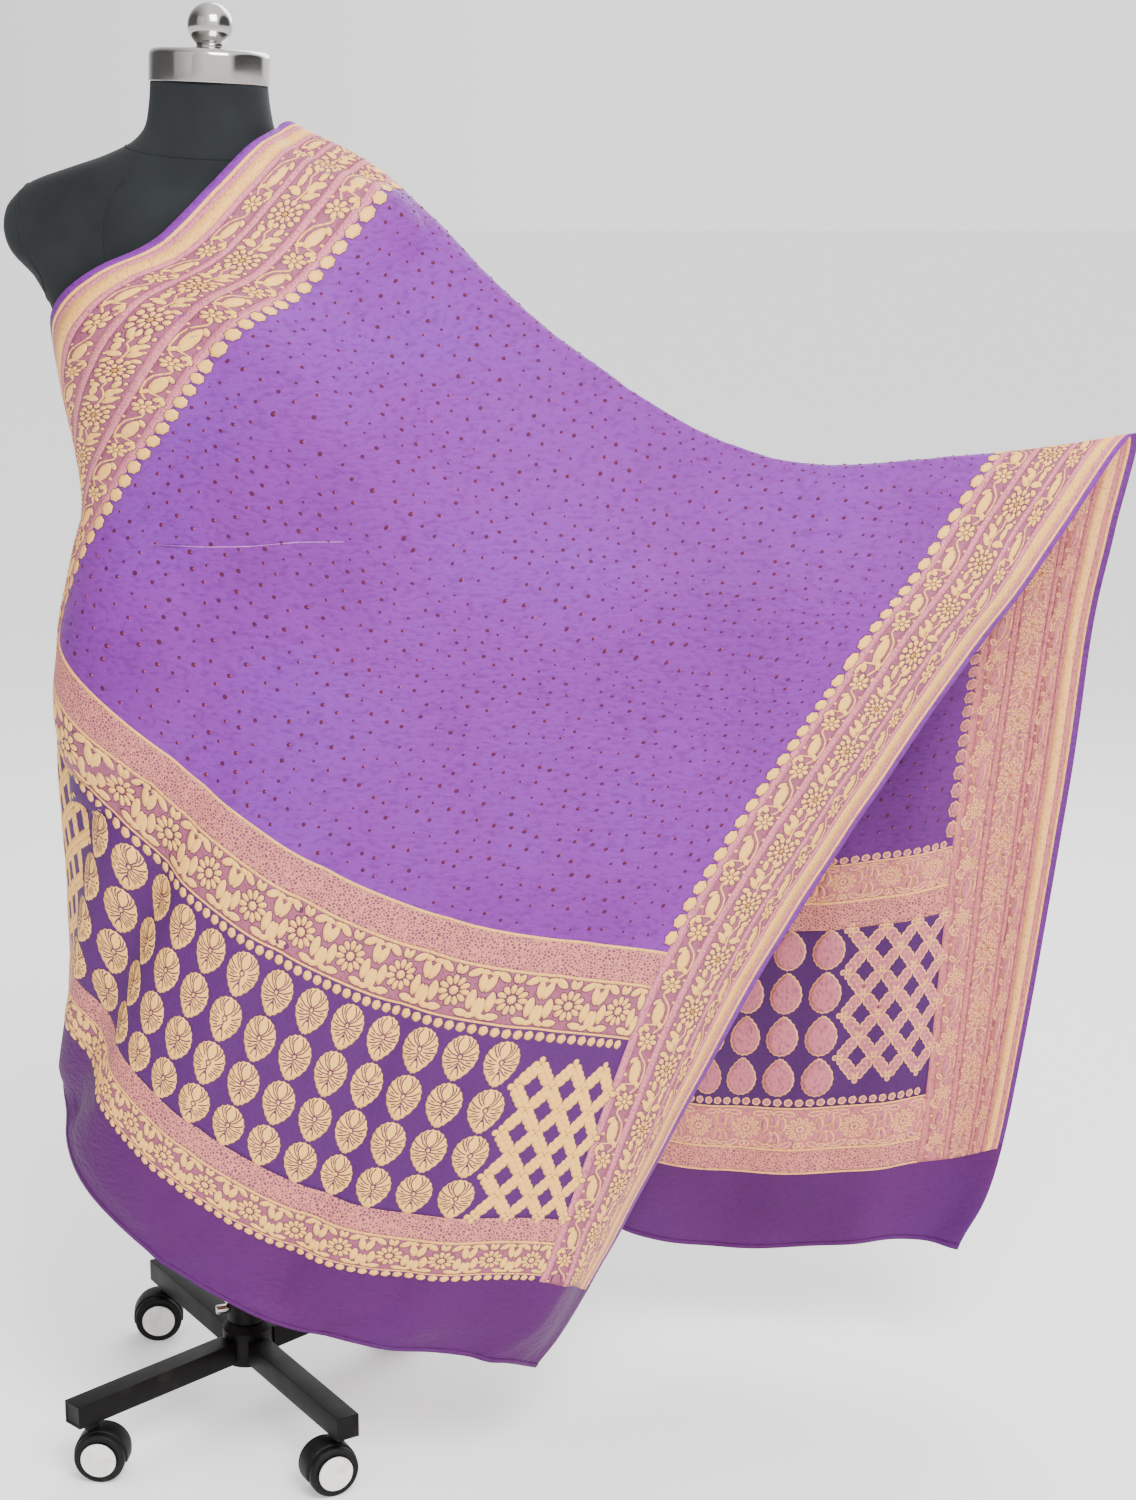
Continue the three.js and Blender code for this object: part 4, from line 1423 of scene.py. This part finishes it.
def make_castor(name, tyre, plate):
    """Twin wheels with white hub discs under a hood that hangs from a bright stem."""
    node = "castor_" + name
    near, far = middle(node + "_wheel_near"), middle(node + "_wheel_far")
    axle = (far - near).normalized().to_track_quat("Z", "Y").to_matrix().to_4x4()
    centre = (near + far) / 2
    for side in ("near", "far"):
        for master, part, slot in ((tyre, "wheel", "castor_black"), (plate, "disc", "castor_white")):
            piece = twin(master, f"{master.name}_{name}_{side}")
            put(piece, Matrix.Translation(middle(f"{node}_{part}_{side}")) @ axle)
            done(piece, slot, f"{node}_{part}_{side}")
    hood = drum(f"hood_{name}", HOOD_RADIUS, HOOD_WIDTH, HOOD_EDGE)
    put(hood, Matrix.Translation(centre) @ axle)
    show_alone(hood)
    bpy.ops.object.mode_set(mode="EDIT")
    bpy.ops.mesh.select_all(action="SELECT")
    bpy.ops.mesh.bisect(
        plane_co=(0, 0, centre.z - HOOD_DROP), plane_no=(0, 0, 1), use_fill=True, clear_inner=True)
    close()
    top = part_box(node + "_web")[1].z
    leg_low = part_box("leg_" + name)[0].z
    pivot = stem_place(node + "_web", top)
    socket = drum(f"socket_{name}", SOCKET_RADIUS, SOCKET_HEIGHT, SOCKET_EDGE, 3, 40)
    put(socket, spot(pivot.x, pivot.y, leg_low - SOCKET_DROP))
    done(join(hood, socket), "castor_black", node + "_web")
    stem_bar = drum(f"stem_{name}", STEM_RADIUS, top - centre.z, STEM_EDGE, 2, 32)
    put(stem_bar, spot(pivot.x, pivot.y, (top + centre.z) / 2))
    done(stem_bar, "bright_metal")


def stem_place(node, top):
    """Middle of a web's topmost points, which is where its stem stands."""
    tops = [v.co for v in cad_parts[node].data.vertices if v.co.z > top - 1e-5]
    return sum(tops, Vector()) / len(tops)


# Operators

class SCENE_OT_form_cover(bpy.types.Operator):
    """Cover the form in black knit with its sewn seams"""
    bl_idname = "scene.form_cover"
    bl_label = "Form cover"

    def execute(self, context):
        points, faces = form_skin()
        cover = new_mesh_object("form_cover", points, faces, [])
        done(cover, "black_jersey", "form_body")
        points, faces, total = [], [], 0
        for path, closed in seam_paths():
            ridge, skin = tube(path, SEAM_RADIUS, closed)
            faces += [[i + total for i in face] for face in skin]
            points.append(ridge)
            total += len(ridge)
        seams = new_mesh_object("form_seams", np.concatenate(points), faces, [])
        done(seams, "black_jersey")
        return {"FINISHED"}


class SCENE_OT_neck_fittings(bpy.types.Operator):
    """Set the plated cap and its knob on the neck"""
    bl_idname = "scene.neck_fittings"
    bl_label = "Neck cap and knob"

    def execute(self, context):
        done(make_cap(), "bright_metal", "neck_cap")
        done(make_knob(), "bright_metal", "neck_knob")
        return {"FINISHED"}


class SCENE_OT_stand(bpy.types.Operator):
    """Build the pole, hub, collar and legs"""
    bl_idname = "scene.stand"
    bl_label = "Stand"

    def execute(self, context):
        low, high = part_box("pole")
        pole = drum("pole_tube", (high.x - low.x) / 2, high.z - low.z, POLE_EDGE, 3, 96)
        put(pole, Matrix.Translation((low + high) / 2))
        done(pole, "bright_metal", "pole")
        hub = cad_copy("hub", "hub_drum")
        soften(hub, HUB_EDGE)
        collar = drum("collar", COLLAR_RADIUS, COLLAR_HEIGHT, COLLAR_EDGE, 4, 96)
        collar_place = spot(AXIS[0], AXIS[1], low.z + COLLAR_HEIGHT / 2)
        put(collar, collar_place)
        done(join(hub, collar), "black_paint", "hub")
        screw = drum("set_screw", SCREW_RADIUS, SCREW_LENGTH, SCREW_EDGE, 4, 48)
        out = spot(COLLAR_RADIUS + SCREW_LENGTH / 2 - SCREW_SUNK, 0, 0)
        put(screw, collar_place @ Matrix.Rotation(SCREW_TURN, 4, "Z") @ out
            @ Matrix.Rotation(math.radians(90), 4, "Y"))
        done(screw, "bright_metal")
        for name in LEGS:
            done(make_leg(name), "black_paint", "leg_" + name)
        return {"FINISHED"}


class SCENE_OT_castors(bpy.types.Operator):
    """Build the four twin-wheel castors"""
    bl_idname = "scene.castors"
    bl_label = "Castors"

    def execute(self, context):
        tyre = drum("tyre", WHEEL_RADIUS, WHEEL_WIDTH, WHEEL_EDGE)
        inset_ends(tyre, WHEEL_RIM, -WHEEL_RECESS)
        plate = drum("hub_disc", DISC_RADIUS, DISC_WIDTH, DISC_EDGE)
        inset_ends(plate, DISC_RIM, DISC_RISE)
        for name in LEGS:
            make_castor(name, tyre, plate)
        for master in (tyre, plate):
            bpy.data.meshes.remove(master.data)
        return {"FINISHED"}


# The plain ends' finish runs a little under the pattern, in millimetres
PLAIN_UNDER = 4
HEM_HEIGHT = 0.5 * MM


class SCENE_OT_draped_cloth(bpy.types.Operator):
    """Lay the dyed ground of the cloth over the form"""
    bl_idname = "scene.draped_cloth"
    bl_label = "Draped cloth"

    def execute(self, context):
        half = cloth_sizes().thickness / 2
        u, v = np.meshgrid(np.linspace(0, WIDTH, GRID_ACROSS + 1), np.linspace(0, LENGTH, GRID_ALONG + 1))
        points, front, back, walls = slab(np.stack([u, v], -1), half, -half)
        colours = cloth_colours()
        materials = [dyed_cloth("violet cloth", colours.violet, 0.62),
                     dyed_cloth("violet cloth reverse", colours.violet_back, 0.66), material_of("plain_end")]
        rows = np.repeat(np.arange(GRID_ALONG), GRID_ACROSS) + 0.5
        length = rows * LENGTH / GRID_ALONG
        ends = (length < HEM_TO_PATTERN + PLAIN_UNDER) | (length > PATTERN_END - PLAIN_UNDER)
        numbers = np.concatenate([np.where(ends, 2, 0), np.where(ends, 2, 1), np.zeros(len(walls), int)])
        faces = np.concatenate([front, back, walls])
        cloth = new_mesh_object("cloth_ground", points, faces, materials, numbers)
        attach(cloth, "root")
        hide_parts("cloth")
        for side, face in SIDES:
            hems = Brocade(side)
            hems.strip("plain_end", 0, WIDTH, 0, HEM_WIDTH, HEM_HEIGHT)
            hems.strip("plain_end", 0, WIDTH, LENGTH - HEM_WIDTH, LENGTH, HEM_HEIGHT)
            hems.piece("hem_" + face)
        return {"FINISHED"}


class SCENE_OT_border_brocade(bpy.types.Operator):
    """Weave the two long borders on both faces"""
    bl_idname = "scene.border_brocade"
    bl_label = "Border brocade"

    def execute(self, context):
        for side, face in SIDES:
            border_brocade(side, False).piece("border_left_" + face)
            border_brocade(side, True).piece("border_right_" + face)
        return {"FINISHED"}


class SCENE_OT_panel_brocade(bpy.types.Operator):
    """Weave the two end panels on both faces"""
    bl_idname = "scene.panel_brocade"
    bl_label = "Panel brocade"

    def execute(self, context):
        for side, face in SIDES:
            panel_brocade(side, 0.0).piece("panel_front_" + face)
            panel_brocade(side, BACK_SHIFT).piece("panel_back_" + face)
        return {"FINISHED"}


# Tied dots of the field: margins at its left, right and ends, and wander, in millimetres, then shares:
# shift of every other row, sizes, missing dots and dots with no bright spot, which is orange dye and painted
# highlight
DOT_MARGINS = (22, 18, 12)
DOT_WANDER = 3.4
DOT_ROW_SHIFT = 0.4
DOT_SIZES = (0.62, 1.15)
DOT_MISSING = 0.05
DYE_AND_HIGHLIGHT_MISSING = 0.55
DYE_AND_HIGHLIGHT_OFFSET = (1.1, 0.9)
DYE_AND_HIGHLIGHT_RADIUS = 0.8
DOT_CROWN = 0.9 * MM
DYE_AND_HIGHLIGHT_CROWN = 1.2 * MM
# Fine dots between the drops, in millimetres: margins at the left, right and foot, rows and sizes
PIN_MARGINS = (12, 8, 5)
PIN_ROWS = 9
PIN_PITCH = (12.0, 20.5)
PIN_WANDER = 1.5
PIN_RADIUS = 1.1
PIN_CROWN = 0.5 * MM
# A thread drawn out of the weave, by its flat points
PULLED_THREAD = [(207, 609), (243, 641), (271, 672), (298, 709), (325, 742)]
PULL_HALF = 0.45
PULL_HEIGHTS = (0.2 * MM, 0.4 * MM)


def pin_places(shift):
    """Even places of the fine dots in one end panel."""
    left, right, foot = PIN_MARGINS
    step_u, step_v = PIN_PITCH
    pins = []
    for row in range(PIN_ROWS):
        start = BORDER + left + (row % 2) * step_u / 2
        v = DROP_FIELD[0] + foot + row * step_v + shift
        pins += [(u, v) for u in np.arange(start, WIDTH - BORDER - right, step_u)]
    return np.array(pins)


class SCENE_OT_tied_dots(bpy.types.Operator):
    """Set the tied dots of the field and of the drop panels"""
    bl_idname = "scene.tied_dots"
    bl_label = "Tied dots"

    def execute(self, context):
        draw = np.random.default_rng(7)
        pitch = cloth_sizes().dot_pitch / MM
        radius = cloth_sizes().dot_radius / MM
        left, right, end = DOT_MARGINS
        u, v = np.meshgrid(np.arange(BORDER + left, WIDTH - BORDER - right, pitch),
                           np.arange(PANEL + end, FIELD_END - end, pitch))
        odd_rows = (np.arange(u.shape[0]) % 2)[:, None]
        places = np.stack([u + odd_rows * pitch * DOT_ROW_SHIFT, v], -1).reshape(-1, 2)
        places += draw.uniform(-DOT_WANDER, DOT_WANDER, places.shape)
        sizes = radius * draw.uniform(*DOT_SIZES, len(places))
        kept = draw.random(len(places)) > DOT_MISSING
        dye_and_highlight_spots = draw.random(len(places)) > DYE_AND_HIGHLIGHT_MISSING
        for side, face in SIDES:
            weave = Brocade(side)
            spots = disc(1.0, sides=7) * sizes[kept][:, None, None]
            weave.cones("tied_dot", places[kept][:, None] + spots, DOT_CROWN)
            # Orange spots beside the dots, partly dye and partly a painted highlight
            near = places[dye_and_highlight_spots & kept] + np.array(DYE_AND_HIGHLIGHT_OFFSET)
            weave.cones("dye_and_highlight_spot", near[:, None] + disc(DYE_AND_HIGHLIGHT_RADIUS, sides=5), DYE_AND_HIGHLIGHT_CROWN)
            for shift in (0.0, BACK_SHIFT):
                pins = pin_places(shift)
                pins += draw.uniform(-PIN_WANDER, PIN_WANDER, pins.shape)
                weave.cones("tied_dot", pins[:, None] + disc(PIN_RADIUS, sides=5), PIN_CROWN)
            if side > 0:
                weave.outlines("pulled_thread", np.stack(stem(PULLED_THREAD, PULL_HALF)), *PULL_HEIGHTS)
            weave.piece("tied_dots_" + face)
        return {"FINISHED"}


# Stage: size and middle of the floor in metres, its grey and glow, and the strength of the studio
FLOOR_SIZE = 80
FLOOR_MIDDLE = (0, 3, 0)
FLOOR_GREY = 0.92
FLOOR_GLOW = 0.4
STUDIO_STRENGTH = 1.68
# Brightness of the studio from far left to far right: place, grey
SIDE_GREYS = [(0.0, 0.10), (0.09, 0.10), (0.18, 0.30), (0.50, 1.0), (0.86, 1.0), (0.92, 0.08)]
# Soft lights: name, place and size in metres, power in watts
LIGHTS = [
    ("key", (0.9, -2.3, 3.2), 1.8, 170),
    ("fill", (-2.4, -2.2, 2.4), 2.2, 8),
    ("back", (0.6, 2.4, 2.6), 2.0, 60),
]
LIGHT_AIM = Vector((0.0, 0.0, 0.75))
# Camera: place from the stand's axis in metres, tilt down in degrees, focal length in heights of the picture
CAMERA_PLACE = (0.351, -2.6, 1.347)
CAMERA_TILT = 13.1
SENSOR_SIZE = 36
FOCAL_SHARE = 2573 / 1500


def pale_floor():
    """A wide plain floor."""
    floor = fresh("floor", bpy.ops.mesh.primitive_plane_add, size=FLOOR_SIZE, location=FLOOR_MIDDLE)
    bpy.ops.object.transform_apply(location=True, rotation=False, scale=False)
    nodes = Nodes("pale floor", 0.9)
    nodes.shade({"Base Color": (FLOOR_GREY, FLOOR_GREY, FLOOR_GREY, 1), "Emission Color": (1, 1, 1, 1),
                 "Emission Strength": FLOOR_GLOW})
    floor.data.materials.append(nodes.material)
    return floor


def soft_studio():
    """A pale world that is darker at its far sides, so that the plating shows contrast."""
    world = bpy.data.worlds.new("soft studio")
    world.use_nodes = True
    nodes = Tree(world.node_tree)
    direction = nodes.add("ShaderNodeTexCoord", {}).outputs["Generated"]
    side = nodes.add("ShaderNodeSeparateXYZ", {"Vector": direction}).outputs["X"]
    span = nodes.add("ShaderNodeMapRange", {"Value": side, "From Min": -1.0}).outputs["Result"]
    greys = nodes.ramp(span, *[(place, (grey, grey, grey)) for place, grey in SIDE_GREYS])
    nodes.fill(nodes.tree.nodes["Background"], {"Color": greys, "Strength": STUDIO_STRENGTH})
    return world


def soft_light(name, place, size, power):
    """A square light that looks at the middle of the cloth."""
    data = bpy.data.lights.new(name, "AREA")
    data.size = size
    data.energy = power
    light = bpy.data.objects.new(name, data)
    light.location = place
    light.rotation_euler = (LIGHT_AIM - Vector(place)).to_track_quat("-Z", "Y").to_euler()
    return light


def photo_camera():
    """A camera at the photograph's viewing angle."""
    data = bpy.data.cameras.new("camera")
    data.sensor_width = SENSOR_SIZE
    data.lens = SENSOR_SIZE * FOCAL_SHARE
    camera = bpy.data.objects.new("camera", data)
    camera.location = (AXIS[0] + CAMERA_PLACE[0], AXIS[1] + CAMERA_PLACE[1], CAMERA_PLACE[2])
    camera.rotation_euler = (math.radians(90 - CAMERA_TILT), 0, 0)
    return camera


class SCENE_OT_stage(bpy.types.Operator):
    """Set the floor, lights, world and camera"""
    bl_idname = "scene.stage_set"
    bl_label = "Stage"

    def execute(self, context):
        floor = pale_floor()
        context.scene.world = soft_studio()
        for row in LIGHTS:
            context.scene.collection.objects.link(soft_light(*row))
        camera = photo_camera()
        context.scene.collection.objects.link(camera)
        context.scene.camera = camera
        return {"FINISHED"}


OPERATORS = [SCENE_OT_stage, SCENE_OT_form_cover, SCENE_OT_neck_fittings, SCENE_OT_stand, SCENE_OT_castors,
             SCENE_OT_draped_cloth, SCENE_OT_border_brocade, SCENE_OT_panel_brocade, SCENE_OT_tied_dots]


class VIEW3D_PT_draped_cloth(bpy.types.Panel):
    """Lists the pieces of the draped cloth"""
    bl_idname = "VIEW3D_PT_draped_cloth"
    bl_label = "Draped cloth"
    bl_space_type = "VIEW_3D"
    bl_region_type = "UI"
    bl_category = "Cloth"

    def draw(self, context):
        for operator in OPERATORS:
            self.layout.operator(operator.bl_idname)


CLASSES = [ClothSizes, ClothColours, *OPERATORS, VIEW3D_PT_draped_cloth]


def register():
    """Registers the classes and their settings."""
    for each in CLASSES:
        bpy.utils.register_class(each)
    bpy.types.Scene.cloth_sizes = bpy.props.PointerProperty(type=ClothSizes)
    bpy.types.Scene.cloth_colours = bpy.props.PointerProperty(type=ClothColours)


def unregister():
    """Takes the settings and the classes away again."""
    del bpy.types.Scene.cloth_sizes
    del bpy.types.Scene.cloth_colours
    for each in reversed(CLASSES):
        bpy.utils.unregister_class(each)


def main():
    """Dresses the stand piece by piece."""
    register()
    bpy.ops.scene.stage_set()
    bpy.ops.scene.form_cover()
    bpy.ops.scene.neck_fittings()
    bpy.ops.scene.stand()
    bpy.ops.scene.castors()
    bpy.ops.scene.draped_cloth()
    bpy.ops.scene.border_brocade()
    bpy.ops.scene.panel_brocade()
    bpy.ops.scene.tied_dots()


if __name__ == "__main__":
    main()
